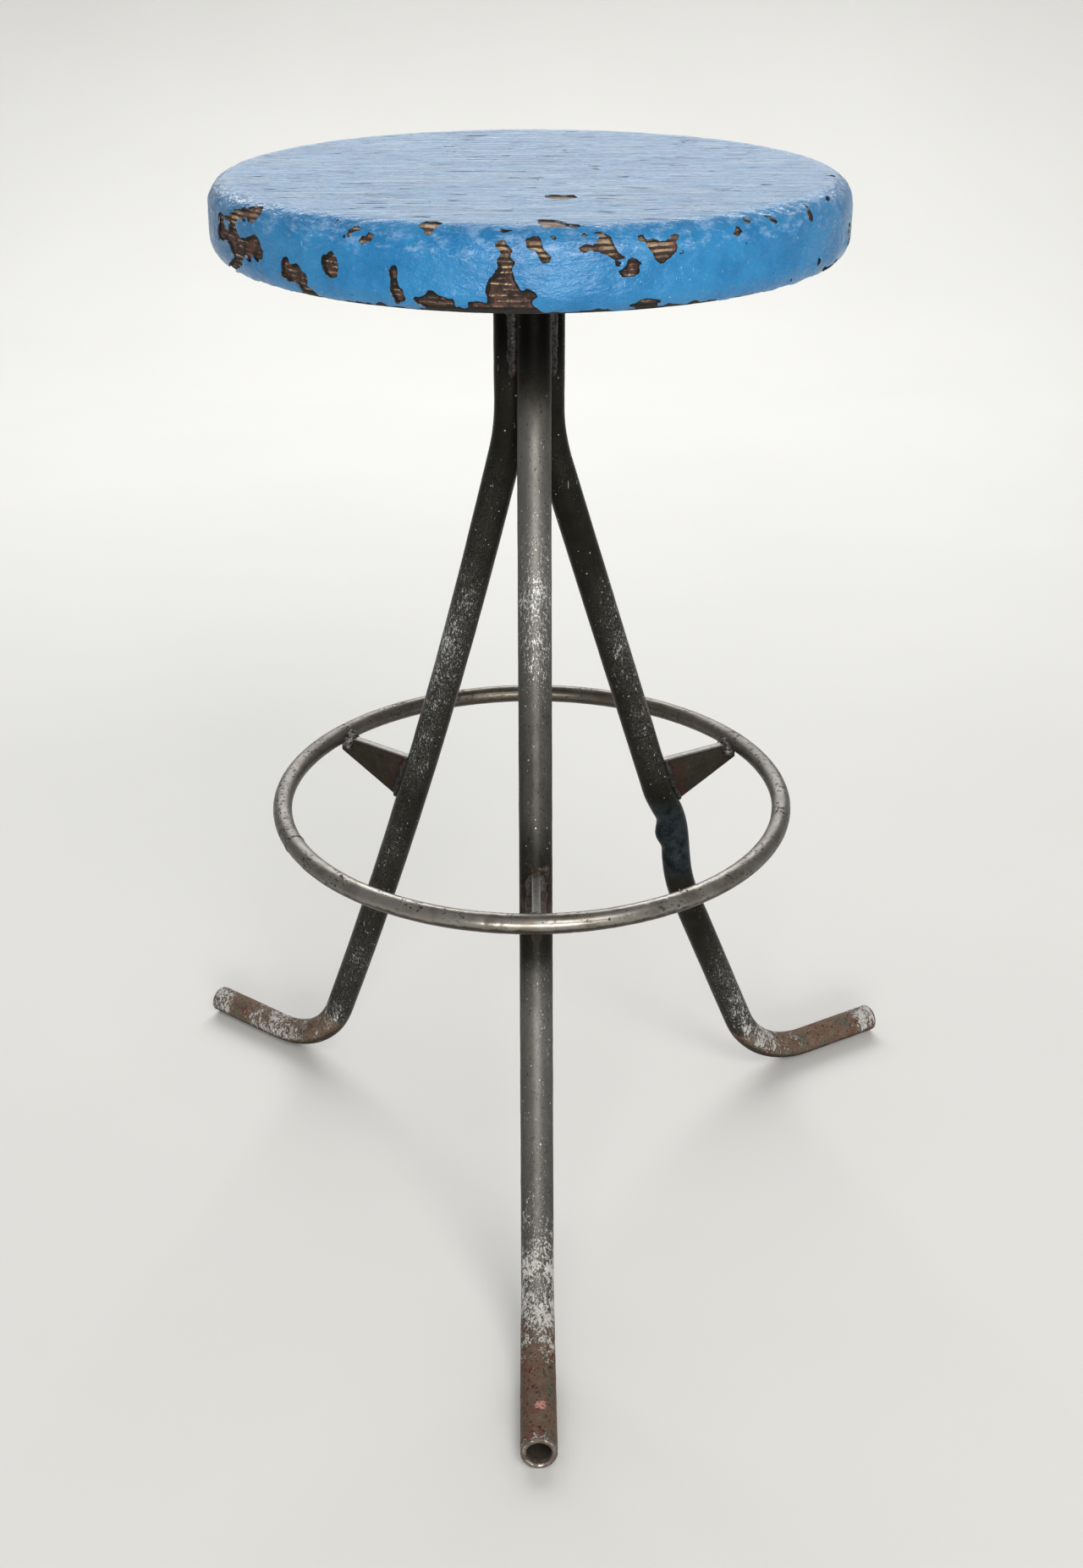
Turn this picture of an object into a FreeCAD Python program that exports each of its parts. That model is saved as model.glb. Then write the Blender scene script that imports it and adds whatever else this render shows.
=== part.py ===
"""Workshop bar stool: a painted plywood seat on three bent steel tubes with a ring footrest.

The origin is on the floor under the middle of the seat, +Z is up, and the front leg points
towards -Y. All sizes are millimetres and degrees, and they live in the sheet called Sizes.
"""
import FreeCAD, Part
import math
import os
import Sketcher

doc = FreeCAD.newDocument("bar_stool")

# ---------------------------------------------------------------- driving dimensions
SIZES = {
    # seat: one thick plywood disc with rounded edges
    "seat_diameter": 350,
    "seat_thickness": 43,
    "seat_underside": 624,
    "seat_edge_radius": 14,
    # steel disc on top of the three tubes, with its screws
    "plate_diameter": 124,
    "plate_thickness": 5,
    "screw_count": 4,
    "screw_circle": 92,
    "screw_diameter": 6,
    "screw_depth": 26,
    "screw_tip": 5,
    "screw_head_width": 10,
    "screw_head_height": 4,
    "washer_diameter": 14,
    "washer_thickness": 1.5,
    # tube stock, and the upright bundle of three under the seat
    "tube_diameter": 20,
    "tube_wall": 3,
    "bundle_circle": 24.6,
    "bundle_turn": -82,
    # each leg: the corners of its centre line, measured outwards from its upright part
    "upper_bend": 110,
    "shank_bend": 4200,
    "heel_bend": 70,
    "front_direction": -90,
    "front_knee_height": 520,
    "front_shank_reach": 73.5,
    "front_shank_height": 285,
    "front_heel_reach": 186,
    "front_toe_reach": 275,
    "front_toe_slant": 12,
    "left_direction": 143,
    "left_knee_height": 522,
    "left_shank_reach": 75.5,
    "left_shank_height": 269,
    "left_heel_reach": 183,
    "left_toe_reach": 294,
    "right_direction": 29.3,
    "right_knee_height": 517,
    "right_shank_reach": 86,
    "right_shank_height": 260,
    "right_heel_reach": 181.5,
    "right_toe_reach": 290,
    # the rear right leg has been hit: a short steep stretch just under its bracket
    "kink_upper_reach": 97.5,
    "kink_upper_height": 238,
    "kink_lower_reach": 105.4,
    "kink_lower_height": 186,
    "kink_bend": 62,
    # footrest: a round bar bent into a ring and butt welded
    "ring_diameter": 316,
    "ring_bar": 12,
    "ring_height": 284,
    "ring_joint_direction": -156,
    "ring_joint_length": 3,
    "ring_joint_proud": 0.4,
    # flat plates that hold the ring clear of the legs
    "bracket_thickness": 5.5,
    "bracket_top": 284,
    "bracket_tip_bottom": 272.5,
    "bracket_root_bottom": 251,
    "bracket_tip_reach": 158,
    # weld beads
    "seam_bead": 6.4,
    "seam_length": 62,
    "seam_offset": 6,
    "collar_height": 4,
    "root_bead": 6.4,
    "root_bead_out": 1,
    "tip_bead": 9,
}

sheet = doc.addObject("Spreadsheet::Sheet", "Sizes")
for row, (alias, value) in enumerate(SIZES.items(), start=1):
    sheet.set("A%d" % row, alias.replace("_", " "))
    sheet.set("B%d" % row, str(value))
    sheet.setAlias("B%d" % row, alias)
doc.recompute()


def size(alias):
    """The value of one cell of the sheet."""
    return float(sheet.get(alias))


nodes = {}


def keep(obj, node):
    """Names a finished sub-part, so that it is checked and exported."""
    obj.Label = node
    nodes[node] = obj
    return obj


def bind(obj, **expressions):
    """Binds properties of an object to cells of the sheet."""
    for name, expression in expressions.items():
        obj.setExpression(name.replace("__", "."), expression)


# ---------------------------------------------------------------- bodies and sketches
def new_body(name):
    return doc.addObject("PartDesign::Body", name)


def origin_plane(body, role):
    return next(item for item in body.Origin.OriginFeatures if item.Role == role)


def new_sketch(body, name, role, height=None):
    """A sketch on one of the body's origin planes, raised by an expression if one is given."""
    sketch = body.newObject("Sketcher::SketchObject", name)
    sketch.AttachmentSupport = (origin_plane(body, role), "")
    sketch.MapMode = "FlatFace"
    if height:
        sketch.setExpression("AttachmentOffset.Base.z", height)
    return sketch


def dimension(sketch, name, expression, *constraint):
    """Adds a named dimension and binds it to the sheet."""
    index = sketch.addConstraint(Sketcher.Constraint(*constraint))
    sketch.renameConstraint(index, name)
    sketch.setExpression("Constraints." + name, expression)


def circle(sketch, name, expression, centre=(0, 0), centre_expression=None):
    """A full circle, its diameter bound; its centre is the origin or a bound distance along X."""
    vector = FreeCAD.Vector(centre[0], centre[1], 0)
    index = sketch.addGeometry(Part.Circle(vector, FreeCAD.Vector(0, 0, 1), 5), False)
    if centre_expression:
        sketch.addConstraint(Sketcher.Constraint("PointOnObject", index, 3, -1))
        dimension(sketch, name + "_place", centre_expression, "DistanceX", -1, 1, index, 3, centre[0])
    else:
        sketch.addConstraint(Sketcher.Constraint("Coincident", index, 3, -1, 1))
    dimension(sketch, name, expression, "Diameter", index, 10)


def closed_outline(sketch, corners):
    """A closed outline of straight lines through corners given as (x, y, x cell, y cell)."""
    count = len(corners)
    for i, corner in enumerate(corners):
        follower = corners[(i + 1) % count]
        start = FreeCAD.Vector(corner[0], corner[1], 0)
        sketch.addGeometry(Part.LineSegment(start, FreeCAD.Vector(follower[0], follower[1], 0)), False)
    for i, (x, y, x_cell, y_cell) in enumerate(corners):
        sketch.addConstraint(Sketcher.Constraint("Coincident", (i - 1) % count, 2, i, 1))
        dimension(sketch, "corner%d_x" % i, x_cell, "DistanceX", -1, 1, i, 1, x)
        dimension(sketch, "corner%d_y" % i, y_cell, "DistanceY", -1, 1, i, 1, y)


def bent_line(sketch, corners, bends):
    """A run of straight lines joined by tangent arcs.

    corners are (x, y, x cell, y cell), where no x cell means the corner is on the upright axis.
    bends holds the radius cell of each corner between the first and the last.
    """
    points = [FreeCAD.Vector(corner[0], corner[1], 0) for corner in corners]
    radii = [size(bend) for bend in bends]
    starts, ends, arcs = [points[0]], [], []
    for i, radius in enumerate(radii, start=1):
        back = (points[i - 1] - points[i]).normalize()
        ahead = (points[i + 1] - points[i]).normalize()
        turn = math.pi - back.getAngle(ahead)
        reach = radius * math.tan(turn / 2)
        leave, join = points[i] + back * reach, points[i] + ahead * reach
        centre = points[i] + (back + ahead).normalize() * math.hypot(radius, reach)
        ends.append(leave)
        starts.append(join)
        left_turn = (ahead.x * back.y - ahead.y * back.x) > 0
        first, last = (leave, join) if left_turn else (join, leave)
        first_angle = math.atan2(first.y - centre.y, first.x - centre.x)
        last_angle = math.atan2(last.y - centre.y, last.x - centre.x)
        whole = Part.Circle(centre, FreeCAD.Vector(0, 0, 1), radius)
        arcs.append((Part.ArcOfCircle(whole, first_angle, last_angle), left_turn))
    ends.append(points[-1])
    lines = [sketch.addGeometry(Part.LineSegment(a, b), False) for a, b in zip(starts, ends)]
    for i, (arc, left_turn) in enumerate(arcs):
        bend = sketch.addGeometry(arc, False)
        entry, departure = (1, 2) if left_turn else (2, 1)
        sketch.addConstraint(Sketcher.Constraint("Tangent", lines[i], 2, bend, entry))
        sketch.addConstraint(Sketcher.Constraint("Tangent", lines[i + 1], 1, bend, departure))
        dimension(sketch, "bend%d" % i, "Sizes." + bends[i], "Radius", bend, radii[i])
    for i, (x, y, x_cell, y_cell) in enumerate(corners):
        if i in (0, len(corners) - 1):
            spot = (lines[0], 1) if i == 0 else (lines[-1], 2)
        else:
            mark = sketch.addGeometry(Part.Point(points[i]), True)
            spot = (mark, 1)
            sketch.addConstraint(Sketcher.Constraint("PointOnObject", mark, 1, lines[i - 1]))
            sketch.addConstraint(Sketcher.Constraint("PointOnObject", mark, 1, lines[i]))
        if x_cell:
            dimension(sketch, "corner%d_x" % i, x_cell, "DistanceX", -1, 1, spot[0], spot[1], x)
        else:
            sketch.addConstraint(Sketcher.Constraint("PointOnObject", spot[0], spot[1], -2))
        dimension(sketch, "corner%d_y" % i, y_cell, "DistanceY", -1, 1, spot[0], spot[1], y)


def check_cut(before, after, name):
    """Stops the build when a pocket has removed nothing."""
    if not after < before - 1:
        raise RuntimeError("the pocket in %s cut nothing" % name)


# ---------------------------------------------------------------- seat board
def make_seat_board():
    body = new_body("seat_board_body")
    profile = new_sketch(body, "seat_profile", "XZ_Plane")
    outer = size("seat_diameter") / 2
    low = size("seat_underside")
    high = low + size("seat_thickness")
    edge = size("seat_edge_radius")
    flat = outer - edge
    up = FreeCAD.Vector(0, 0, 1)
    under_corner = Part.Circle(FreeCAD.Vector(flat, low + edge, 0), up, edge)
    upper_corner = Part.Circle(FreeCAD.Vector(flat, high - edge, 0), up, edge)
    segments = [
        Part.LineSegment(FreeCAD.Vector(0, low, 0), FreeCAD.Vector(flat, low, 0)),
        Part.ArcOfCircle(under_corner, -math.pi / 2, 0),
        Part.LineSegment(FreeCAD.Vector(outer, low + edge, 0), FreeCAD.Vector(outer, high - edge, 0)),
        Part.ArcOfCircle(upper_corner, 0, math.pi / 2),
        Part.LineSegment(FreeCAD.Vector(flat, high, 0), FreeCAD.Vector(0, high, 0)),
        Part.LineSegment(FreeCAD.Vector(0, high, 0), FreeCAD.Vector(0, low, 0)),
    ]
    for segment in segments:
        profile.addGeometry(segment, False)
    for first, last in ((0, 1), (1, 2), (2, 3), (3, 4)):
        profile.addConstraint(Sketcher.Constraint("Tangent", first, 2, last, 1))
    profile.addConstraint(Sketcher.Constraint("Coincident", 4, 2, 5, 1))
    profile.addConstraint(Sketcher.Constraint("Coincident", 5, 2, 0, 1))
    profile.addConstraint(Sketcher.Constraint("PointOnObject", 0, 1, -2))
    profile.addConstraint(Sketcher.Constraint("PointOnObject", 4, 2, -2))
    profile.addConstraint(Sketcher.Constraint("Horizontal", 0))
    profile.addConstraint(Sketcher.Constraint("Horizontal", 4))
    dimension(profile, "lower_edge", "Sizes.seat_edge_radius", "Radius", 1, edge)
    dimension(profile, "upper_edge", "Sizes.seat_edge_radius", "Radius", 3, edge)
    dimension(profile, "outer", "Sizes.seat_diameter / 2", "DistanceX", -1, 1, 2, 1, outer)
    dimension(profile, "underside", "Sizes.seat_underside", "DistanceY", -1, 1, 0, 1, low)
    dimension(profile, "thickness", "Sizes.seat_thickness", "DistanceY", 0, 1, 4, 2, high - low)
    disc = body.newObject("PartDesign::Revolution", "seat_disc")
    disc.Profile = profile
    disc.ReferenceAxis = (profile, ["V_Axis"])
    disc.Angle = 360
    doc.recompute()

    spot = new_sketch(body, "pilot_sketch", "XY_Plane", "Sizes.seat_underside")
    circle(spot, "pilot", "Sizes.screw_diameter", (size("screw_circle") / 2, 0),
           "Sizes.screw_circle / 2")
    pilot = body.newObject("PartDesign::Pocket", "pilot_hole")
    pilot.Profile = spot
    pilot.Reversed = True
    pilot.setExpression("Length", "Sizes.screw_depth")
    doc.recompute()
    check_cut(disc.Shape.Volume, pilot.Shape.Volume, "seat_board")
    pattern = body.newObject("PartDesign::PolarPattern", "pilot_holes")
    pattern.Originals = [pilot]
    pattern.Axis = (spot, ["N_Axis"])
    pattern.Angle = 360
    pattern.setExpression("Occurrences", "Sizes.screw_count")
    body.Tip = pattern
    return keep(body, "seat_board")


# ---------------------------------------------------------------- seat plate and its screws
def make_seat_plate():
    body = new_body("seat_plate_body")
    outline = new_sketch(body, "plate_outline", "XY_Plane", "Sizes.seat_underside - Sizes.plate_thickness")
    circle(outline, "rim", "Sizes.plate_diameter")
    disc = body.newObject("PartDesign::Pad", "plate_disc")
    disc.Profile = outline
    disc.setExpression("Length", "Sizes.plate_thickness")
    doc.recompute()
    spot = new_sketch(body, "screw_hole_sketch", "XY_Plane", "Sizes.seat_underside")
    circle(spot, "clearance", "Sizes.screw_diameter", (size("screw_circle") / 2, 0),
           "Sizes.screw_circle / 2")
    hole = body.newObject("PartDesign::Pocket", "screw_hole")
    hole.Profile = spot
    hole.setExpression("Length", "Sizes.plate_thickness")
    doc.recompute()
    check_cut(disc.Shape.Volume, hole.Shape.Volume, "seat_plate")
    pattern = body.newObject("PartDesign::PolarPattern", "screw_holes")
    pattern.Originals = [hole]
    pattern.Axis = (spot, ["N_Axis"])
    pattern.Angle = 360
    pattern.setExpression("Occurrences", "Sizes.screw_count")
    body.Tip = pattern
    return keep(body, "seat_plate")


def make_screws_and_washers():
    """Coach screws up through the plate into the seat, each over a plain washer."""
    screws, washers = [], []
    under_plate = "Sizes.seat_underside - Sizes.plate_thickness"
    for i in range(int(size("screw_count"))):
        angle = "%d * 360 deg / Sizes.screw_count" % i
        place_x = "Sizes.screw_circle / 2 * cos(%s)" % angle
        place_y = "Sizes.screw_circle / 2 * sin(%s)" % angle

        shank = doc.addObject("Part::Cylinder", "screw_shank%d" % i)
        bind(shank, Radius="Sizes.screw_diameter / 2",
             Height="Sizes.plate_thickness + Sizes.screw_depth - Sizes.screw_tip + Sizes.washer_thickness",
             Placement__Base__z=under_plate + " - Sizes.washer_thickness")
        tip = doc.addObject("Part::Cone", "screw_tip%d" % i)
        tip.Radius2 = 0
        bind(tip, Radius1="Sizes.screw_diameter / 2", Height="Sizes.screw_tip",
             Placement__Base__z="Sizes.seat_underside + Sizes.screw_depth - Sizes.screw_tip")
        head = doc.addObject("Part::Prism", "screw_head%d" % i)
        head.Polygon = 6
        bind(head, Circumradius="Sizes.screw_head_width / sqrt(3)", Height="Sizes.screw_head_height",
             Placement__Base__z=under_plate + " - Sizes.washer_thickness - Sizes.screw_head_height")
        screw = doc.addObject("Part::MultiFuse", "screw%d" % i)
        screw.Shapes = [shank, tip, head]
        bind(screw, Placement__Base__x=place_x, Placement__Base__y=place_y)
        screws.append(screw)

        blank = doc.addObject("Part::Cylinder", "washer_blank%d" % i)
        hole = doc.addObject("Part::Cylinder", "washer_hole%d" % i)
        for cylinder, radius in ((blank, "Sizes.washer_diameter / 2"), (hole, "Sizes.screw_diameter / 2")):
            bind(cylinder, Radius=radius, Height="Sizes.washer_thickness",
                 Placement__Base__z=under_plate + " - Sizes.washer_thickness")
        washer = doc.addObject("Part::Cut", "washer%d" % i)
        washer.Base = blank
        washer.Tool = hole
        bind(washer, Placement__Base__x=place_x, Placement__Base__y=place_y)
        washers.append(washer)
    for name, members in (("seat_screws", screws), ("seat_washers", washers)):
        group = doc.addObject("Part::Compound", name + "_group")
        group.Links = members
        keep(group, name)


# ---------------------------------------------------------------- legs
TUBE_TURN = {"front": 0, "left": -120, "right": 120}
paths = {}


def place_on_tube(obj, side):
    """Puts an object's own upright axis on a tube of the bundle and turns it the way that leg goes."""
    obj.Placement = FreeCAD.Placement(FreeCAD.Vector(), FreeCAD.Rotation(FreeCAD.Vector(0, 0, 1), 1))
    angle = "(Sizes.bundle_turn + %d) * 1 deg" % TUBE_TURN[side]
    bind(obj, Placement__Base__x="Sizes.bundle_circle / 2 * cos(%s)" % angle,
         Placement__Base__y="Sizes.bundle_circle / 2 * sin(%s)" % angle)
    obj.setExpression("Placement.Rotation.Angle", "Sizes.%s_direction * 1 deg" % side)


def leg_corners(side):
    """The corners of one leg's centre line, from the seat plate down to the toe."""
    def corner(reach, height):
        return (size(reach), size(height), "Sizes." + reach, "Sizes." + height)

    tube_top = size("seat_underside") - size("plate_thickness")
    floor_line = size("tube_diameter") / 2
    knee = side + "_knee_height"
    corners = [
        (0, tube_top, None, "Sizes.seat_underside - Sizes.plate_thickness"),
        (0, size(knee), None, "Sizes." + knee),
        corner(side + "_shank_reach", side + "_shank_height"),
    ]
    bends = ["upper_bend"]
    if side == "right":
        corners.append(corner("kink_upper_reach", "kink_upper_height"))
        corners.append(corner("kink_lower_reach", "kink_lower_height"))
        bends += ["kink_bend", "kink_bend", "upper_bend", "heel_bend"]
    else:
        bends += ["shank_bend", "heel_bend"]
    for reach in (side + "_heel_reach", side + "_toe_reach"):
        corners.append((size(reach), floor_line, "Sizes." + reach, "Sizes.tube_diameter / 2"))
    return corners, bends


def make_leg(side, node):
    """A tube that comes straight down from the seat, slants outwards and ends in a flat foot."""
    body = new_body(node + "_body")
    path = new_sketch(body, node + "_path", "XZ_Plane")
    bent_line(path, *leg_corners(side))
    paths[side] = path
    section = new_sketch(body, node + "_section", "XY_Plane", "Sizes.seat_underside - Sizes.plate_thickness")
    circle(section, "outside", "Sizes.tube_diameter")
    circle(section, "bore", "Sizes.tube_diameter - 2 * Sizes.tube_wall")
    doc.recompute()
    pipe = body.newObject("PartDesign::AdditivePipe", node + "_tube")
    pipe.Profile = section
    pipe.Spine = (path, ["Edge%d" % (i + 1) for i in range(len(path.Shape.Edges))])
    pipe.Mode = "Standard"
    doc.recompute()
    outer, bore = size("tube_diameter") / 2, size("tube_diameter") / 2 - size("tube_wall")
    expected = math.pi * (outer ** 2 - bore ** 2) * path.Shape.Length
    if abs(pipe.Shape.Volume / expected - 1) > 0.002:
        raise RuntimeError("%s has the wrong volume" % node)
    if side == "front":
        slant_toe(body, pipe, node)
    place_on_tube(body, side)
    return keep(body, node)


def slant_toe(body, pipe, node):
    """Trims the open end of the front foot, so that it faces slightly upwards."""
    reach = size("front_toe_reach")
    tall = size("tube_diameter")
    back = tall * math.tan(math.radians(size("front_toe_slant")))
    slope = "Sizes.tube_diameter * tan(Sizes.front_toe_slant * 1 deg)"
    wedge = new_sketch(body, node + "_trim", "XZ_Plane")
    closed_outline(wedge, [
        (reach, 0, "Sizes.front_toe_reach", "0 mm"),
        (reach, tall, "Sizes.front_toe_reach", "Sizes.tube_diameter"),
        (reach - back, tall, "Sizes.front_toe_reach - " + slope, "Sizes.tube_diameter"),
    ])
    trim = body.newObject("PartDesign::Pocket", node + "_slant")
    trim.Profile = wedge
    trim.Midplane = True
    trim.setExpression("Length", "2 * Sizes.tube_diameter")
    doc.recompute()
    check_cut(pipe.Shape.Volume, trim.Shape.Volume, node)


# ---------------------------------------------------------------- footrest ring
def make_ring():
    ring = doc.addObject("Part::Torus", "ring_bar")
    bind(ring, Radius1="Sizes.ring_diameter / 2", Radius2="Sizes.ring_bar / 2",
         Placement__Base__z="Sizes.ring_height")
    return keep(ring, "footrest_ring")


def cut_away(base, tools, name):
    """Takes each tool from the base in turn, and gives back the last cut."""
    result = base
    for i, tool in enumerate(tools):
        cut = doc.addObject("Part::Cut", "%s_cut%d" % (name, i))
        cut.Base = result
        cut.Tool = tool
        result = cut
    return result


def make_ring_weld(ring):
    """The low bead where the two ends of the bar meet."""
    bead = doc.addObject("Part::Cylinder", "ring_bead")
    angle = "Sizes.ring_joint_direction * 1 deg"
    bind(bead, Radius="Sizes.ring_bar / 2 + Sizes.ring_joint_proud", Height="Sizes.ring_joint_length")
    upright = FreeCAD.Rotation(FreeCAD.Vector(1, 0, 0), 90)
    turned = FreeCAD.Rotation(FreeCAD.Vector(0, 0, 1), size("ring_joint_direction"))
    bead.Placement = FreeCAD.Placement(FreeCAD.Vector(), turned.multiply(upright))
    half = "Sizes.ring_joint_length / 2"
    bind(bead, Placement__Base__x="Sizes.ring_diameter / 2 * cos({0}) - {1} * sin({0})".format(angle, half),
         Placement__Base__y="Sizes.ring_diameter / 2 * sin({0}) + {1} * cos({0})".format(angle, half),
         Placement__Base__z="Sizes.ring_height")
    return keep(cut_away(bead, [ring], "ring_bead"), "footrest_ring_weld")


# ---------------------------------------------------------------- brackets and their welds
def tube_face(side, height):
    """How far the outer face of a leg is from the leg's upright axis at one height."""
    level = Part.makeLine(FreeCAD.Vector(1, 0, height), FreeCAD.Vector(size("ring_diameter"), 0, height))
    _, pairs, places = paths[side].Shape.distToShape(level)
    edge = paths[side].Shape.Edges[places[0][1]]
    tangent = edge.tangentAt(places[0][2]) if places[0][0] == "Edge" else edge.tangentAt(edge.FirstParameter)
    return pairs[0][0].x + size("tube_diameter") / 2 / abs(tangent.z)


def make_bracket(side, leg, ring, node):
    """A tapered plate between a leg and the ring, coped to both."""
    body = new_body(node + "_body")
    outline = new_sketch(body, node + "_outline", "XZ_Plane")
    top, root, tip = size("bracket_top"), size("bracket_root_bottom"), size("bracket_tip_bottom")
    bite = size("tube_wall") / 3
    start_high = tube_face(side, top) - bite
    start_low = tube_face(side, root) - bite
    end = size("bracket_tip_reach") - size("bundle_circle") / 2
    reach = "Sizes.bracket_tip_reach - Sizes.bundle_circle / 2"
    closed_outline(outline, [
        (start_high, top, "%.2f mm" % start_high, "Sizes.bracket_top"),
        (start_low, root, "%.2f mm" % start_low, "Sizes.bracket_root_bottom"),
        (end, tip, reach, "Sizes.bracket_tip_bottom"),
        (end, top, reach, "Sizes.bracket_top"),
    ])
    plate = body.newObject("PartDesign::Pad", node + "_plate")
    plate.Profile = outline
    plate.Midplane = True
    plate.setExpression("Length", "Sizes.bracket_thickness")
    place_on_tube(body, side)
    doc.recompute()
    return keep(cut_away(body, [leg, ring], node), node)


def make_root_weld(side, leg, bracket, node):
    """Two beads, one on each side of the plate, where it meets the leg."""
    top, root = size("bracket_top"), size("bracket_root_bottom")
    high, low = (tube_face(side, height) + size("root_bead_out") for height in (top, root))
    lean = math.degrees(math.atan2(high - low, top - root))
    beads = []
    for hand, sign in (("a", -1), ("b", 1)):
        bead = doc.addObject("Part::Cylinder", "%s_bead_%s" % (node, hand))
        bead.Height = math.hypot(high - low, top - root)
        bind(bead, Radius="Sizes.root_bead / 2")
        offset = sign * size("bracket_thickness") / 2
        tilt = FreeCAD.Rotation(FreeCAD.Vector(0, 1, 0), lean)
        bead.Placement = FreeCAD.Placement(FreeCAD.Vector(low, offset, root), tilt)
        beads.append(bead)
    return weld_group(beads, side, [leg, bracket], node)


def make_tip_weld(side, ring, bracket, node):
    """Two round beads, one on each side of the plate, where it meets the ring."""
    beads = []
    for hand, sign in (("a", -1), ("b", 1)):
        bead = doc.addObject("Part::Sphere", "%s_bead_%s" % (node, hand))
        bind(bead, Radius="Sizes.tip_bead / 2")
        reach = size("ring_diameter") / 2 - size("bundle_circle") / 2 - size("ring_bar") / 2
        offset = sign * size("bracket_thickness") / 2
        height = size("ring_height") - size("ring_bar") / 4
        bead.Placement.Base = FreeCAD.Vector(reach, offset, height)
        beads.append(bead)
    return weld_group(beads, side, [ring, bracket], node)


def weld_group(beads, side, neighbours, node):
    """Beads in one leg's frame, cut back to the faces they join."""
    group = doc.addObject("Part::Compound", node + "_group")
    group.Links = beads
    place_on_tube(group, side)
    doc.recompute()
    return keep(cut_away(group, neighbours, node), node)


# ---------------------------------------------------------------- welds of the tube bundle
def make_seam_weld(between, legs, node):
    """A bead down the outer groove between two upright tubes; between is its angle in the bundle."""
    bead = doc.addObject("Part::Cylinder", node + "_bead")
    angle = "(Sizes.bundle_turn + %d) * 1 deg" % between
    out = "(Sizes.bundle_circle / 4 + Sizes.seam_offset)"
    bind(bead, Radius="Sizes.seam_bead / 2", Height="Sizes.seam_length",
         Placement__Base__x="%s * cos(%s)" % (out, angle),
         Placement__Base__y="%s * sin(%s)" % (out, angle),
         Placement__Base__z="Sizes.seat_underside - Sizes.plate_thickness"
                            " - Sizes.collar_height - Sizes.seam_length")
    return keep(cut_away(bead, legs, node), node)


def make_collar_weld(legs):
    """The fillet that joins the three tube tops to the underside of the seat plate."""
    cones = []
    for side, turn in TUBE_TURN.items():
        cone = doc.addObject("Part::Cone", "collar_" + side)
        angle = "(Sizes.bundle_turn + %d) * 1 deg" % turn
        bind(cone, Radius1="Sizes.tube_diameter / 2", Height="Sizes.collar_height",
             Radius2="Sizes.tube_diameter / 2 + Sizes.collar_height",
             Placement__Base__x="Sizes.bundle_circle / 2 * cos(%s)" % angle,
             Placement__Base__y="Sizes.bundle_circle / 2 * sin(%s)" % angle,
             Placement__Base__z="Sizes.seat_underside - Sizes.plate_thickness - Sizes.collar_height")
        cones.append(cone)
    collar = doc.addObject("Part::MultiFuse", "collar_blank")
    collar.Shapes = cones
    bores = []
    for side, turn in TUBE_TURN.items():
        bore = doc.addObject("Part::Cylinder", "collar_bore_" + side)
        angle = "(Sizes.bundle_turn + %d) * 1 deg" % turn
        bind(bore, Radius="Sizes.tube_diameter / 2", Height="Sizes.collar_height",
             Placement__Base__x="Sizes.bundle_circle / 2 * cos(%s)" % angle,
             Placement__Base__y="Sizes.bundle_circle / 2 * sin(%s)" % angle,
             Placement__Base__z="Sizes.seat_underside - Sizes.plate_thickness - Sizes.collar_height")
        bores.append(bore)
    return keep(cut_away(collar, bores, "collar"), "seat_plate_weld")


# ---------------------------------------------------------------- build
make_seat_board()
make_seat_plate()
make_screws_and_washers()
leg_names = {"front": "leg_front", "left": "leg_rear_left", "right": "leg_rear_right"}
legs = {side: make_leg(side, node) for side, node in leg_names.items()}
footrest = make_ring()
make_ring_weld(footrest)
for side, leg_node in leg_names.items():
    place = leg_node.replace("leg_", "")
    bracket = make_bracket(side, legs[side], footrest, "bracket_" + place)
    make_root_weld(side, legs[side], bracket, "bracket_leg_weld_" + place)
    make_tip_weld(side, footrest, bracket, "bracket_ring_weld_" + place)
for between, node in ((-60, "seam_weld_front_left"), (60, "seam_weld_front_right"), (180, "seam_weld_rear")):
    make_seam_weld(between, list(legs.values()), node)
make_collar_weld(legs)
doc.recompute()

# ---------------------------------------------------------------- check and write
for obj in doc.Objects:
    if "Invalid" in obj.State or "Error" in obj.State:
        raise RuntimeError("%s failed to build: %s" % (obj.Label, obj.State))
for node, obj in nodes.items():
    if obj.Shape.isNull() or not obj.Shape.isValid() or not obj.Shape.Solids:
        raise RuntimeError("%s has no valid solid" % node)
os.makedirs("parts", exist_ok=True)
for node, obj in nodes.items():
    obj.Shape.exportStep("parts/%s.step" % node)
    print("%-30s %d solid(s), %.1f mm3" % (node, len(obj.Shape.Solids), obj.Shape.Volume))
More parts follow.
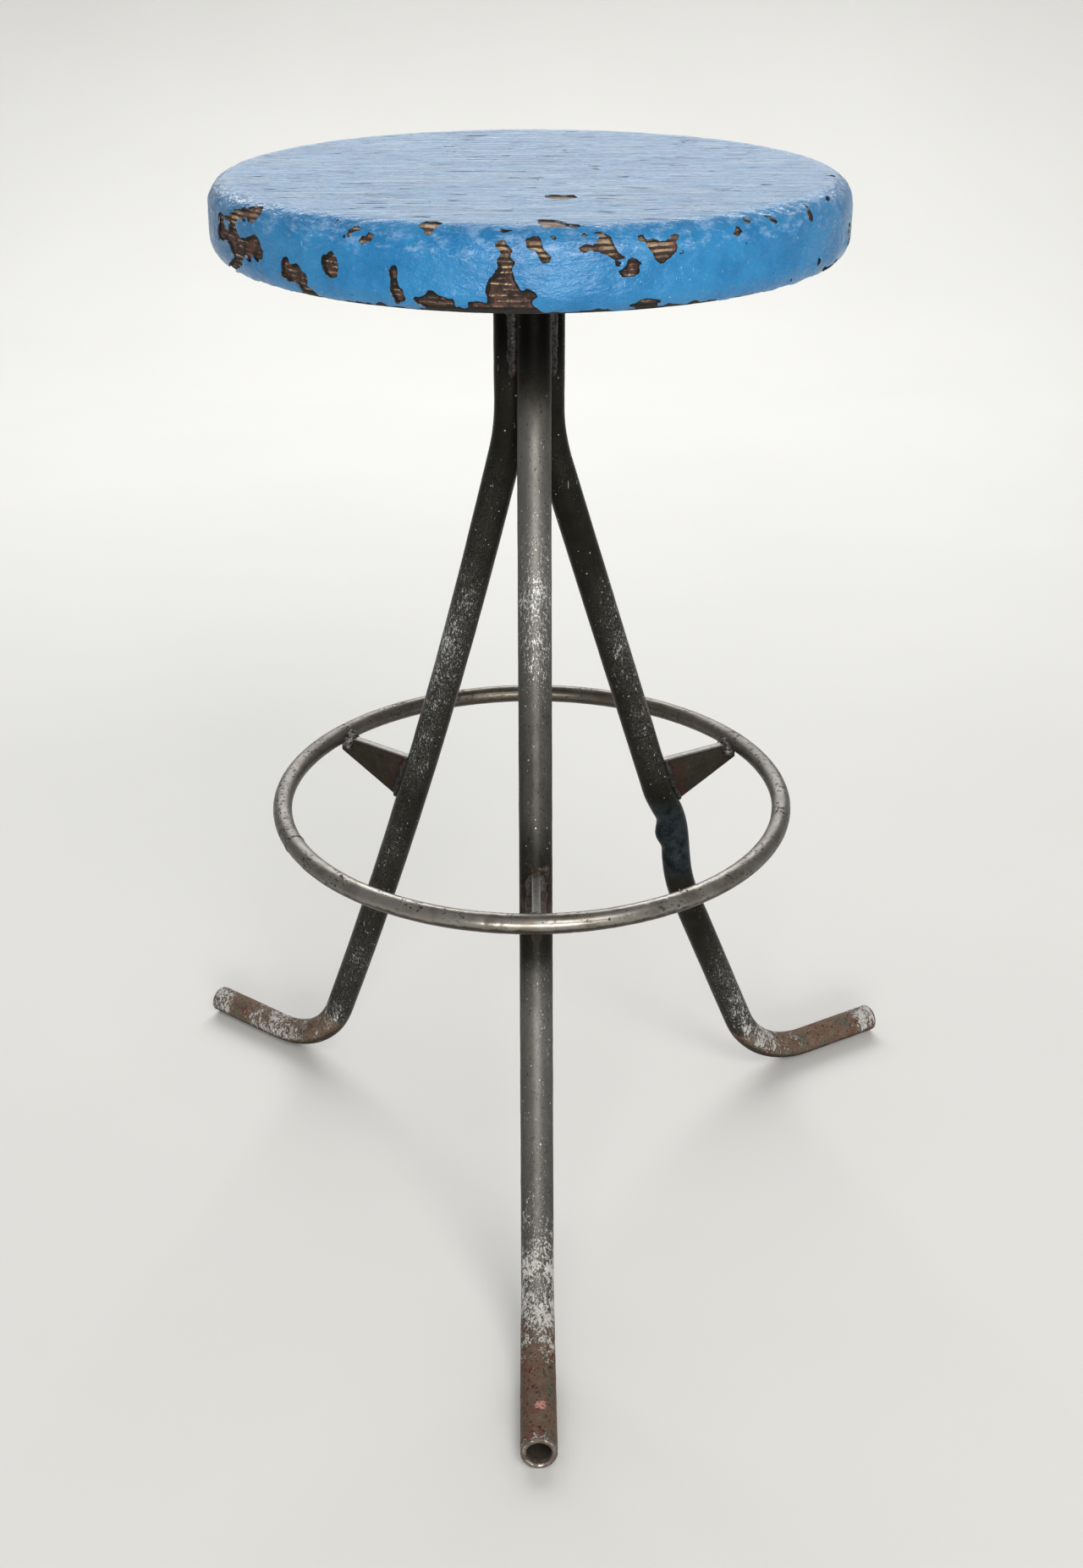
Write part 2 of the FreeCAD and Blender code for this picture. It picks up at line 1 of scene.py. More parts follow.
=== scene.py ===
import bpy
import math
import numpy as np
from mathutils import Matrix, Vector


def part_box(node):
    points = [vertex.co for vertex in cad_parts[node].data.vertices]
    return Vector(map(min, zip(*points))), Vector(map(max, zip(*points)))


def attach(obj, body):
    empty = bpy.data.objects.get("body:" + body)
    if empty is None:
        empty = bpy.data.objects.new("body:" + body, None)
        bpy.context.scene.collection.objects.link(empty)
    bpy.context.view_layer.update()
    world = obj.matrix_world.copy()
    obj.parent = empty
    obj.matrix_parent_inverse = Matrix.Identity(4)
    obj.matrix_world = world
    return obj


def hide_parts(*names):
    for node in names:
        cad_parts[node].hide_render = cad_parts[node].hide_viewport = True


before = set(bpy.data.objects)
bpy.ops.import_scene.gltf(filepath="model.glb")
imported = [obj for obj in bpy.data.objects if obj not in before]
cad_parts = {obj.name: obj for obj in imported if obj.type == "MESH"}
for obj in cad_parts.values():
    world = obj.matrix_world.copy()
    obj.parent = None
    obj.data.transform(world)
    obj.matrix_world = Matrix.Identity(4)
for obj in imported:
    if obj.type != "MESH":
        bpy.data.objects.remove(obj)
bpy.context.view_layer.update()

MM = 0.001
ROOT = "root"
UP = np.array([0, 0, 1.0])

# ---------------------------------------------------------------- sizes, in millimetres
seat_low, seat_high = (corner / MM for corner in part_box("seat_board"))
SEAT_RADIUS = (seat_high.x - seat_low.x) / 2
SEAT_TOP = seat_high.z
SEAT_UNDER = seat_low.z
SEAT_EDGE = 14.0
SEAT_FLAT = SEAT_RADIUS - SEAT_EDGE
ROUND = math.pi / 2 * SEAT_EDGE                      # length of one rounded edge
BAND = SEAT_TOP - SEAT_UNDER - 2 * SEAT_EDGE         # height of the upright band between them
RIM_LENGTH = 2 * ROUND + BAND
PLY = 2.6                                            # thickness of one layer of the plywood
PAINT_SET_BACK = 0.45                                # paint surface under the CAD surface
PAINT_THICK = 1.0
PAINT_END = 49.3                                     # where the paint ends below, along the profile

ring_low, ring_high = (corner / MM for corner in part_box("footrest_ring"))
RING_Z = (ring_low.z + ring_high.z) / 2
RING_BAR = (ring_high.z - ring_low.z) / 2
RING_RADIUS = (ring_high.x - ring_low.x) / 2 - RING_BAR
RING_JOINT = -156                                    # direction of its butt weld, in degrees

TUBE = 10.0
BORE = 6.7
TUBE_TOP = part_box("leg_front")[1].z / MM
BUNDLE = 12.3                                        # tube axis to stool axis, at the top
BUNDLE_TURN = {"front": -82, "rear_left": 158, "rear_right": 38}
LEG_DIRECTION = {"front": -90, "rear_left": 143, "rear_right": 29.3}
# corners of each centre line, as reach from the tube's upright part and height, and the bend radii
LEG_LINE = {
    "front": ([(0, TUBE_TOP), (0, 520), (73.5, 285), (186, TUBE), (275, TUBE)], [110, 4200, 70]),
    "rear_left": ([(0, TUBE_TOP), (0, 522), (75.5, 269), (183, TUBE), (294, TUBE)], [110, 4200, 70]),
    "rear_right": ([(0, TUBE_TOP), (0, 517), (86, 260), (97.5, 238), (105.4, 186), (181.5, TUBE),
                    (290, TUBE)], [110, 62, 62, 110, 70]),
}
BRACKET_TOP = 284.0
BRACKET_ROOT_LOW = 251.0
BRACKET_TIP_LOW = 272.5
BRACKET_THICK = 5.5
BRACKET_REACH = 158.0


# ---------------------------------------------------------------- seeded noise
def scatter(ix, iy, iz, seed):
    """A repeatable random number from 0 to 1 for each lattice cell."""
    h = ix.astype(np.uint32) * np.uint32(374761393) + iy.astype(np.uint32) * np.uint32(668265263)
    h = h + iz.astype(np.uint32) * np.uint32(2246822519) + np.uint32(seed * 7919 + 17)
    h = (h ^ (h >> np.uint32(13))) * np.uint32(1274126177)
    h = (h ^ (h >> np.uint32(16))) * np.uint32(2654435769)
    return ((h >> np.uint32(8)) & np.uint32(0xFFFF)) / 65535.0


def lumps(points, size, seed):
    """Smooth noise from -1 to 1; size is one number or one per axis, in the points' own unit."""
    q = np.asarray(points, float) / size + 1000.5
    cell = np.floor(q).astype(np.int64)
    t = q - cell
    t = t * t * (3 - 2 * t)
    total = 0
    for dx in (0, 1):
        for dy in (0, 1):
            for dz in (0, 1):
                weight = np.ones(len(q))
                for axis, step in enumerate((dx, dy, dz)):
                    weight = weight * (t[:, axis] if step else 1 - t[:, axis])
                total = total + weight * scatter(cell[:, 0] + dx, cell[:, 1] + dy, cell[:, 2] + dz, seed)
    return total * 2 - 1


def rough(points, size, seed, octaves=3):
    """Several layers of noise, each half the size and half the height of the one before."""
    return sum(lumps(points, np.asarray(size) / 2 ** i, seed + i) / 2 ** i for i in range(octaves))


def smooth(low, high, value):
    """Rises smoothly from 0 at low to 1 at high; low may be the larger of the two."""
    t = np.clip((value - low) / (high - low), 0, 1)
    return t * t * (3 - 2 * t)


def hump(value, centre, width):
    """A bell-shaped curve that is 1 at the centre."""
    return np.exp(-((value - centre) / width) ** 2)


def full_turn(count):
    """Evenly spaced angles round a circle."""
    return 2 * math.pi * np.arange(count) / count


def heading(degrees):
    """The level direction at an angle from +X."""
    turn = math.radians(degrees)
    return np.array([math.cos(turn), math.sin(turn), 0])


# ---------------------------------------------------------------- mesh helpers
def make_piece(name, points, faces, material, replaced=(), fields=None, uv=None, edges=35,
               second=None, second_faces=None):
    """A mesh object from points in millimetres, riding on the root body.

    fields are values per point for the material, and edges is the angle from which an edge is sharp.
    """
    mesh = bpy.data.meshes.new(name)
    mesh.from_pydata((np.asarray(points) * MM).tolist(), [], [list(map(int, f)) for f in faces])
    for key, values in (fields or {}).items():
        attribute = mesh.attributes.new(key, "FLOAT", "POINT")
        attribute.data.foreach_set("value", np.asarray(values, np.float32))
    if uv is not None:
        layer = mesh.uv_layers.new(name="OFBake")
        layer.data.foreach_set("uv", np.asarray(uv, np.float32).ravel())
    mesh.materials.append(material)
    if second:
        mesh.materials.append(second)
        mesh.polygons.foreach_set("material_index", np.asarray(second_faces, np.int32))
    mesh.polygons.foreach_set("use_smooth", np.ones(len(faces), bool))
    mesh.set_sharp_from_angle(angle=math.radians(edges))
    mesh.validate()
    mesh.update()
    piece = bpy.data.objects.new(name, mesh)
    bpy.context.scene.collection.objects.link(piece)
    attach(piece, ROOT)
    if replaced:
        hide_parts(*replaced)
    return piece


def skin(rings, closed=False, caps=True):
    """Points and quads of a surface through rings of equal count; ends closed by a fan."""
    count, around = rings.shape[:2]
    points = rings.reshape(-1, 3)
    faces = []
    for i in range(count if closed else count - 1):
        a, b = i * around, (i + 1) % count * around
        for k in range(around):
            n = (k + 1) % around
            faces.append((a + k, a + n, b + n, b + k))
    if caps and not closed:
        ends = np.array([rings[0].mean(0), rings[-1].mean(0)])
        first, last = len(points), len(points) + 1
        points = np.vstack([points, ends])
        start = (count - 1) * around
        for k in range(around):
            n = (k + 1) % around
            faces.append((first, n, k))
            faces.append((last, start + k, start + n))
    return points, faces


def outward_faces(points, faces, uv=None):
    """Turns the faces over if the surface is inside out."""
    volume = 0
    points = np.asarray(points)
    for face in faces:
        a, b, c = points[list(face[:3])]
        volume += a @ np.cross(b, c)
        if len(face) == 4:
            a, b, c = points[[face[0], face[2], face[3]]]
            volume += a @ np.cross(b, c)
    if volume >= 0:
        return faces, uv
    turned, corners, start = [], [], 0
    for face in faces:
        turned.append(tuple(face[::-1]))
        if uv is not None:
            corners += list(uv[start:start + len(face)])[::-1]
            start += len(face)
    return turned, corners if uv is not None else None


def strip_uv(count, around, length, girth, faces, closed=False):
    """Unrolls a skin into level strips that fill the unit square; caps go into a corner of it."""
    total = count if closed else count - 1
    strips = max(1, round(math.sqrt(length / girth)))
    per = math.ceil(total / strips)
    pitch = 1 / strips
    margin = 0.012
    table = []
    for face in faces:
        if len(face) == 4:
            i, k = divmod(face[0], around)
            row, place = divmod(i, per)
            left, right = (margin + (1 - 2 * margin) * x / per for x in (place, place + 1))
            low, high = (row * pitch + margin + (pitch - 2 * margin) * y / around for y in (k, k + 1))
            table += [(left, low), (left, high), (right, high), (right, low)]
        else:
            table += [(1 - margin / 2, 1 - margin / 2), (1, 1 - margin / 2), (1, 1)]
    return table


# ---------------------------------------------------------------- shader helpers
class Signal:
    """A value that changes over the surface; sums and products of it add Math nodes."""

    def __init__(self, shader, socket):
        self.shader, self.socket = shader, socket

    def __add__(self, other):
        return self.shader.maths("ADD", self, other)

    def __sub__(self, other):
        return self.shader.maths("SUBTRACT", self, other)

    def __rsub__(self, other):
        return self.shader.maths("SUBTRACT", other, self)

    def __mul__(self, other):
        return self.shader.maths("MULTIPLY", self, other)

    def __truediv__(self, other):
        return self.shader.maths("DIVIDE", self, other)


class Shader:
    """A material and short ways of adding nodes to it. Lengths in it are in millimetres."""

    def __init__(self, name):
        self.material = bpy.data.materials.new(name)
        self.material.use_nodes = True
        self.tree = self.material.node_tree
        self.place = self.add("TexCoord", "Object")
        self.mm = self.stretch()

    def put(self, socket, value):
        if isinstance(value, Signal):
            self.tree.links.new(value.socket, socket)
        elif socket.type == "RGBA":
            socket.default_value = (*value, 1)
        else:
            socket.default_value = value

    def add(self, kind, output, inputs=None, **settings):
        """A new node; what it gives at one of its outputs is returned as a signal."""
        node = self.tree.nodes.new("ShaderNode" + kind)
        for key, value in settings.items():
            setattr(node, key, value)
        for key, value in (inputs or {}).items():
            self.put(node.inputs[key], value)
        return Signal(self, node.outputs[output])

    def stretch(self, x=1.0, y=1.0, z=1.0, turn=(0, 0, 0)):
        """Coordinates in millimetres, each axis multiplied."""
        return self.add("Mapping", "Vector", {"Vector": self.place, "Scale": (x / MM, y / MM, z / MM),
                                              "Rotation": turn})

    def noise(self, size, detail=3.0, roughness=0.55, distortion=0.0, at=None):
        return self.add("TexNoise", "Fac", {"Vector": at or self.mm, "Scale": 1 / size, "Detail": detail,
                                            "Roughness": roughness, "Distortion": distortion})

    def stray(self, reach, size, detail=3.0, roughness=0.55, at=None):
        """Noise about zero; reach is the difference between its extremes."""
        return (self.noise(size, detail, roughness, at=at) - 0.5) * reach

    def cells(self, size, output="Distance"):
        return self.add("TexVoronoi", output, {"Vector": self.mm, "Scale": 1 / size})

    def field(self, name):
        return self.add("Attribute", "Fac", attribute_name=name)

    def axis(self, name):
        return self.add("SeparateXYZ", name, {0: self.mm})

    def maths(self, operation, a, b=0.5):
        return self.add("Math", 0, {0: a, 1: b}, operation=operation)

    def span(self, value, low, high, to_low=0.0, to_high=1.0):
        """Maps low..high smoothly onto to_low..to_high."""
        return self.add("MapRange", "Result", {"Value": value, "From Min": low, "From Max": high,
                                               "To Min": to_low, "To Max": to_high},
                        interpolation_type="SMOOTHSTEP")

    def mix(self, share, a, b):
        """One colour where share is 0 and the other where it is 1."""
        return self.add("Mix", 2, {"Factor": share, 6: a, 7: b}, data_type="RGBA")

    def bump(self, height, depth, below=None):
        """Relief whose full range of height stands for depth millimetres."""
        inputs = {"Strength": 1.0, "Distance": depth * MM, "Height": height}
        if below:
            inputs["Normal"] = below
        return self.add("Bump", "Normal", inputs)

    def finish(self, **values):
        for key, value in values.items():
            self.put(self.tree.nodes["Principled BSDF"].inputs[key.replace("_", " ")], value)
        return self.material


# ---------------------------------------------------------------- materials
def blue_paint():
    """Thick brushed oil paint, glossy, with dust in its hollows and long brush marks on top; the brush marks
    carry painted highlight and shade, and the upper rounded edge a painted highlight.
    """
    s = Shader("blue_oil_paint")
    flat, upper = s.field("flat"), s.field("upper")
    tone = s.noise(22, 4)
    base = s.mix(s.span(tone, 0.35, 0.65), (0.007, 0.126, 0.3), (0.018, 0.168, 0.362))
    base = s.mix(s.span(s.noise(3.2, 4, 0.7), 0.54, 0.74, 0, 0.4), base, (0.055, 0.24, 0.46))
    brushed = s.stretch(0.45, 0.45, 1)
    # pale chalky patches, with more of them on the upper rounded edge, where they are a painted highlight
    pale_patches_and_highlight = s.noise(3.6, 5, 0.72, at=brushed) + upper * 0.14
    base = s.mix(s.span(pale_patches_and_highlight, 0.6, 0.82, 0, 0.5), base, (0.26, 0.39, 0.58))
    # long brush marks on the flat top: the paler grey on their ridges is painted highlight, the darker blue
    # between them painted shade
    streak = s.noise(5.0, 5, 0.72, at=s.stretch(0.1, 1, 1))
    base = s.mix(s.span(streak, 0.47, 0.66) * (flat * 0.55), base, (0.3, 0.38, 0.45))
    base = s.mix(s.span(streak, 0.45, 0.32) * (flat * 0.6), base, (0.006, 0.075, 0.19))
    # thin slits between the brush marks, coloured dark as painted shadow in their grooves; they also sink the
    # relief and raise the roughness
    shaded_slits = s.span(s.noise(3.6, 2, 0.5, at=s.stretch(0.16, 1, 1)), 0.334, 0.312) * flat
    base = s.mix(shaded_slits, base, (0.007, 0.034, 0.08))
    scratch = s.span(s.noise(0.9, 2, 0.5, at=s.stretch(0.8, 0.8, 0.16, (0.3, 0.5, 0))), 0.735, 0.775, 0, 0.6)
    base = s.mix(scratch * (1.0 - flat), base, (0.32, 0.52, 0.7))
    specks = s.span(s.cells(5.5), 0.1, 0.06) * s.span(s.noise(15, 2), 0.52, 0.6)
    base = s.mix(specks * 0.7, base, (0.3, 0.5, 0.68))
    grime = s.noise(7, 5, 0.78, at=s.stretch(1, 1, 1.4))
    base = s.mix(s.span(grime, 0.6, 0.76, 0, 0.55), base, (0.006, 0.06, 0.15))
    rim_relief = s.noise(3.6, 4, 0.6, at=brushed) + s.noise(1.5, 3) * 0.18
    normal = s.bump((streak + tone * 0.5 - shaded_slits) * flat, 4.2)
    normal = s.bump(rim_relief * s.span(flat, 0, 1, 1.0, 0.45), 1.3, normal)
    gloss = s.maths("MAXIMUM", s.span(s.noise(7, 4, 0.7), 0.3, 0.7, 0.2, 0.36) + flat * 0.07, shaded_slits)
    return s.finish(Base_Color=base, Roughness=gloss, Normal=normal, Specular_IOR_Level=0.42)


def paint_edge():
    """The broken edge of the paint: chalky blue over a pale primer."""
    s = Shader("paint_edge")
    tone = s.noise(2.2, 3)
    base = s.mix(s.span(tone, 0.4, 0.62), (0.035, 0.12, 0.21), (0.23, 0.22, 0.2))
    base = s.mix(s.span(s.noise(5, 2), 0.42, 0.5), base, (0.01, 0.008, 0.007))
    return s.finish(Base_Color=base, Roughness=0.7, Normal=s.bump(tone, 0.2))


def bare_plywood():
    """Old plywood: layers on the rim, long grain on the faces, dark stains and old red primer, with painted
    shadow along the paint's edge.
    """
    s = Shader("bare_plywood")
    wobble = s.noise(6, 3, at=s.stretch(0.15, 0.15, 0.6)) * 2.6
    layer = (s.axis("Z") + wobble) / PLY
    wave = s.maths("SINE", layer * (2 * math.pi))
    fibre = s.noise(1.0, 4, 0.75, at=s.stretch(0.25, 0.25, 3.0))
    broken = s.stray(5.0, 3.2, 5, 0.75, at=s.stretch(0.5, 0.5, 1))
    raised = s.span(s.axis("Z"), SEAT_TOP - 22, SEAT_TOP - 7)
    pale = s.mix(fibre, (0.34, 0.215, 0.125), (0.78, 0.6, 0.41))
    dark = s.mix(fibre, (0.01, 0.006, 0.004), (0.1, 0.056, 0.04))
    clean = s.span(s.noise(11, 3), 0.4, 0.58, 0.25, 1.0)
    lines = s.span(wave + broken + raised * 1.1, 0.68, 1.12)
    rim = s.mix(lines * clean, dark, pale)
    grain_lines = s.noise(1.5, 5, 0.7, 0.6, at=s.stretch(0.04, 0.9, 0.9))
    face = s.mix(s.span(grain_lines, 0.3, 0.7), (0.1, 0.062, 0.038), (0.33, 0.22, 0.13))
    stain = s.noise(45, 4, 0.6)
    face = s.mix(s.span(stain, 0.45, 0.7, 0, 0.8), face, (0.045, 0.032, 0.024))
    base = s.mix(s.field("flat"), rim, face)
    primer = s.span(s.noise(8, 4, 0.65), 0.51, 0.57)
    base = s.mix(primer * 0.72, base, (0.115, 0.05, 0.04))
    soot = s.span(s.noise(5.5, 5, 0.78), 0.48, 0.55)
    base = s.mix(soot * s.span(raised, 0, 1, 0.8, 0.3), base, (0.01, 0.006, 0.004))
    # outline: painted shadow thrown by the paint's broken edge, and painted shade on the lower rounded edge,
    # weaker near the top
    outline = s.field("outline") + s.stray(0.9, 2.4, 3)
    painted_edge_shade = s.span(outline, 0.35, 0.6, 0, 0.94) * s.span(raised, 0, 1, 1.0, 0.45)
    base = s.mix(painted_edge_shade, base, (0.005, 0.004, 0.003))
    height = wave * 0.3 + (fibre + grain_lines)
    return s.finish(Base_Color=base, Roughness=0.72, Normal=s.bump(height, 0.6), Specular_IOR_Level=0.3)


def black_tube():
    """Black lacquer on drawn steel, worn through to silver specks, rusting towards the feet; the wear and
    grey patina are kept to the face turned to the light as painted sheen, and the lacquer is painted darker
    in the shade under the seat.
    """
    s = Shader("worn_black_tube")
    along = s.stretch(1, 1, 0.42)
    drawn = s.stretch(1, 1, 0.06)
    wear_and_sheen, rust, dim, flake, under, patina_and_sheen, scorched, fleck = (
        s.field(name) for name in ("wear_and_sheen", "rust", "dim", "flake", "under", "patina_and_sheen", "scorched", "fleck"))
    film = s.mix(s.noise(9, 4), (0.004, 0.0038, 0.0026), (0.016, 0.015, 0.0105))
    film = s.mix(dim * 0.9, film, (0.0006, 0.0006, 0.0006))
    grain = s.noise(0.85, 3, 0.75)
    # pale grey grain of worn lacquer, kept to the lit face, so it is partly painted sheen
    dust_and_sheen = s.span(grain, 0.44, 0.66) * s.span(wear_and_sheen, 0.12, 0.7) * (1.0 - dim)
    film = s.mix(dust_and_sheen * 0.62, film, (0.165, 0.163, 0.15))
    worn_grey = s.mix(s.noise(5, 4, at=s.stretch(1, 1, 0.3)), (0.105, 0.099, 0.088), (0.18, 0.174, 0.16))
    worn_grey = s.mix(s.span(s.noise(1.1, 3, 0.7, at=along), 0.4, 0.32), worn_grey, (0.012, 0.01, 0.008))
    # the rubbed grey is real wear, and on the lit face painted sheen as well
    rubbed = s.span(patina_and_sheen + s.stray(0.5, 7, 5, 0.7, at=along), 0.1, 0.9) * patina_and_sheen
    film = s.mix(rubbed, film, worn_grey)
    blued = s.mix(s.span(s.noise(8, 4, 0.65), 0.34, 0.66), (0.004, 0.0058, 0.007), (0.0175, 0.0235, 0.0265))
    blued = s.mix(s.span(s.noise(1.5, 3, 0.7), 0.64, 0.72), blued, (0.07, 0.085, 0.09))
    film = s.mix(scorched, film, blued)
    fine = s.noise(1.0, 4, 0.72, 0.6, at=along) + s.noise(12, 3) * 0.3
    bare = s.span(fine - (0.93 - wear_and_sheen * 0.31), -0.03, 0.05)
    lines = s.noise(0.8, 2, 0.6, at=drawn) + wear_and_sheen * 0.12 - 0.74
    bare = s.maths("MAXIMUM", bare, s.span(lines, 0.0, 0.05) * 0.7)
    dots = s.span(s.cells(6.5), 0.075, 0.05) * (1.0 - rust)
    bare = s.maths("MAXIMUM", bare * (1.0 - rust * 0.75), dots * 0.9)
    bare = bare * (1.0 - scorched * 0.92) * (1.0 - dim * 0.8)
    steel = s.mix(s.noise(2.5, 3), (0.3, 0.3, 0.29), (0.66, 0.66, 0.65))
    oxide = s.mix(s.noise(7, 4), (0.07, 0.042, 0.028), (0.175, 0.118, 0.085))
    oxide = s.mix(s.span(s.noise(13, 3), 0.5, 0.62, 0, 0.7), oxide, (0.085, 0.085, 0.062))
    oxide = s.mix(s.span(s.noise(15, 3, 0.6), 0.44, 0.36), oxide, (0.125, 0.052, 0.038))
    oxide = s.mix(s.span(s.noise(2.2, 4, 0.75), 0.46, 0.36, 0, 0.85), oxide, (0.016, 0.011, 0.008))
    # under: painted shade on the lower side near the floor, and on the front leg the dark of its stain
    oxide = s.mix(s.span(under, 0.15, 0.75, 0, 0.85), oxide, (0.012, 0.009, 0.007))
    rusted = s.span(rust + s.stray(1.5, 8, 5, 0.75), 0.42, 0.62)
    scale = s.noise(1.7, 5, 0.75, 0.8, at=along) + s.noise(9, 3, at=s.stretch(1, 1, 0.6)) * 0.46
    scale = s.span(scale - (1.04 - flake * 0.34), -0.005, 0.03)
    base = s.mix(rusted, film, oxide)
    base = s.mix(bare, base, steel)
    base = s.mix(scale, base, s.mix(s.noise(1.7, 4), (0.21, 0.19, 0.165), (0.58, 0.57, 0.55)))
    pink = s.mix(s.span(s.noise(1.6, 3), 0.42, 0.56), (0.17, 0.085, 0.07), (0.46, 0.215, 0.185))
    base = s.mix(s.span(fleck + s.noise(2, 3), 0.98, 1.06), base, pink)
    shine = s.span(grain, 0.3, 0.7, 0.22, 0.36) + rusted * 0.2 + rubbed * 0.2 + scale * 0.2
    metal = s.maths("MAXIMUM", bare * 0.45, dust_and_sheen * 0.6)
    metal = s.maths("MAXIMUM", metal, rubbed * 0.7) * (1.0 - scale)
    normal = s.bump(s.noise(1.3, 4, 0.7) - bare * 0.35, 0.12)
    normal = s.bump(scale * 0.8 + s.noise(2.2, 4, 0.75) * rusted, 0.4, normal)
    return s.finish(Base_Color=base, Metallic=metal, Roughness=shine, Normal=normal, Specular_IOR_Level=0.035)


def tube_lip():
    """The filed end of a tube, part bright and part rusty, and its bore, painted dark as rust and shade."""
    s = Shader("filed_tube_end")
    inside = s.field("inside")
    patch = s.span(s.noise(3.2, 4, 0.7), 0.4, 0.54)
    shiny = s.mix(s.noise(1.4, 3), (0.07, 0.058, 0.046), (0.36, 0.33, 0.3))
    filed = s.mix(patch, shiny, s.mix(s.noise(1.8, 4), (0.02, 0.013, 0.009), (0.11, 0.072, 0.05)))
    # the bore, rust painted near black as the shade inside it, down to the cap that closes it
    bore_rust_and_shade = s.mix(s.noise(2.5, 4), (0.008, 0.006, 0.004), (0.06, 0.042, 0.028))
    base = s.mix(inside, filed, bore_rust_and_shade)
    metal = s.span(inside, 0.2, 0.8, 0.8, 0.0) * s.span(patch, 0, 1, 1.0, 0.15)
    roughness = s.span(inside, 0.1, 0.7, 0.28, 0.55) + patch * 0.2
    normal = s.bump(s.noise(0.9, 3), 0.18)
    return s.finish(Base_Color=base, Metallic=metal, Roughness=roughness, Normal=normal)


def ring_steel():
    """Bare bar gone dull, with small black pits and brown below; painted shade makes the back darker and
    browner, and the sides, which are also matt, darker.
    """
    s = Shader("dull_ring_steel")
    base = s.mix(s.noise(6, 3), (0.205, 0.19, 0.165), (0.262, 0.246, 0.218))
    base = s.mix(s.span(s.noise(18, 4), 0.44, 0.64, 0, 0.62), base, (0.12, 0.098, 0.074))
    brown = s.field("low") + s.stray(0.9, 6, 4)
    base = s.mix(s.span(brown, 0.3, 0.72, 0, 0.92), base, (0.036, 0.027, 0.019))
    # painted shade: darker and browner towards the back
    shaded_back = s.span(s.axis("Y") + s.stray(150.0, 10, 4, 0.7), -10, 120)
    base = s.mix(shaded_back * 0.7, base, (0.062, 0.05, 0.036))
    # the sides are duller, rougher steel, and painted darker as shade
    beside = s.span(s.maths("ABSOLUTE", s.axis("X")), 90, 145)
    base = s.mix(beside * 0.62, base, (0.1, 0.094, 0.084))
    pits = s.span(s.noise(1.5, 4, 0.75, at=s.stretch(0.55, 0.55, 1)) + s.noise(22, 2) * 0.45, 0.8, 0.85)
    base = s.mix(pits, base, (0.01, 0.008, 0.006))
    metal = s.span(pits, 0, 1, 0.85, 0.15)
    roughness = s.span(s.noise(12, 2), 0.3, 0.7, 0.27, 0.35) + pits * 0.3 + beside * 0.16
    height = s.noise(2.5, 2) * 0.1 - pits
    return s.finish(Base_Color=base, Metallic=metal, Roughness=roughness, Normal=s.bump(height, 0.05))


def bracket_steel():
    """Sawn flat bar under old olive black, rubbed bright along its edges."""
    s = Shader("worn_bracket_steel")
    edge, root = s.field("edge"), s.field("root")
    base = s.mix(s.noise(6, 4), (0.01, 0.009, 0.0062), (0.034, 0.03, 0.021))
    maroon = root + s.stray(1.2, 9, 3)
    base = s.mix(s.span(maroon, 0.55, 0.95, 0, 0.8), base, (0.034, 0.014, 0.012))
    rubbed = s.span(edge + s.stray(1.1, 2.4, 4, 0.7), 0.55, 0.75)
    base = s.mix(rubbed, base, s.mix(s.noise(3, 3), (0.11, 0.104, 0.092), (0.26, 0.25, 0.228)))
    flakes = s.span(s.noise(1.2, 3, 0.7), 0.64, 0.72, 0, 0.7)
    base = s.mix(flakes, base, (0.13, 0.12, 0.1))
    return s.finish(Base_Color=base, Metallic=rubbed * 0.7, Roughness=0.42, Specular_IOR_Level=0.03,
                    Normal=s.bump(s.noise(1.6, 4, 0.7), 0.2))


def weld_steel(name, tone, scale=(0.01, 0.009, 0.008)):
    """Weld metal with fine ripples and dark scale; tone is how bright the bare part is."""
    s = Shader(name)
    bright = tuple(tone * share for share in (1.0, 0.98, 0.94))
    base = s.mix(s.span(s.noise(2.2, 4), 0.4, 0.66), scale, bright)
    base = s.mix(s.span(s.noise(7, 3), 0.55, 0.7, 0, 0.7), base, (0.045, 0.022, 0.017))
    metal = s.span(s.noise(2.2, 4), 0.42, 0.62, 0.1, 0.7)
    normal = s.bump(s.noise(1.1, 4, 0.65), 0.35)
    return s.finish(Base_Color=base, Metallic=metal, Roughness=0.38, Normal=normal, Specular_IOR_Level=0.12)


def plate_black():
    """Scuffed black paint of the hidden seat plate."""
    s = Shader("seat_plate_black")
    base = s.mix(s.noise(10, 4), (0.013, 0.013, 0.012), (0.045, 0.042, 0.036))
    worn = s.span(s.noise(1.4, 4, 0.75) + s.noise(25, 2) * 0.4, 0.82, 0.9)
    base = s.mix(worn, base, (0.38, 0.36, 0.33))
    normal = s.bump(s.noise(1.8, 4), 0.15)
    return s.finish(Base_Color=base, Metallic=worn * 0.7, Roughness=0.42, Normal=normal)


def zinc():
    """Dull, spangled zinc with some rust, for the screws and washers."""
    s = Shader("old_zinc")
    base = s.mix(s.cells(1.6, "Color"), (0.3, 0.29, 0.25), (0.5, 0.49, 0.45))
    base = s.mix(s.span(s.noise(3, 4, 0.7), 0.54, 0.68), base, (0.13, 0.07, 0.04))
    roughness = s.span(s.noise(2, 3), 0.3, 0.7, 0.32, 0.6)
    return s.finish(Base_Color=base, Metallic=0.7, Roughness=roughness, Normal=s.bump(s.noise(0.8, 3), 0.06))


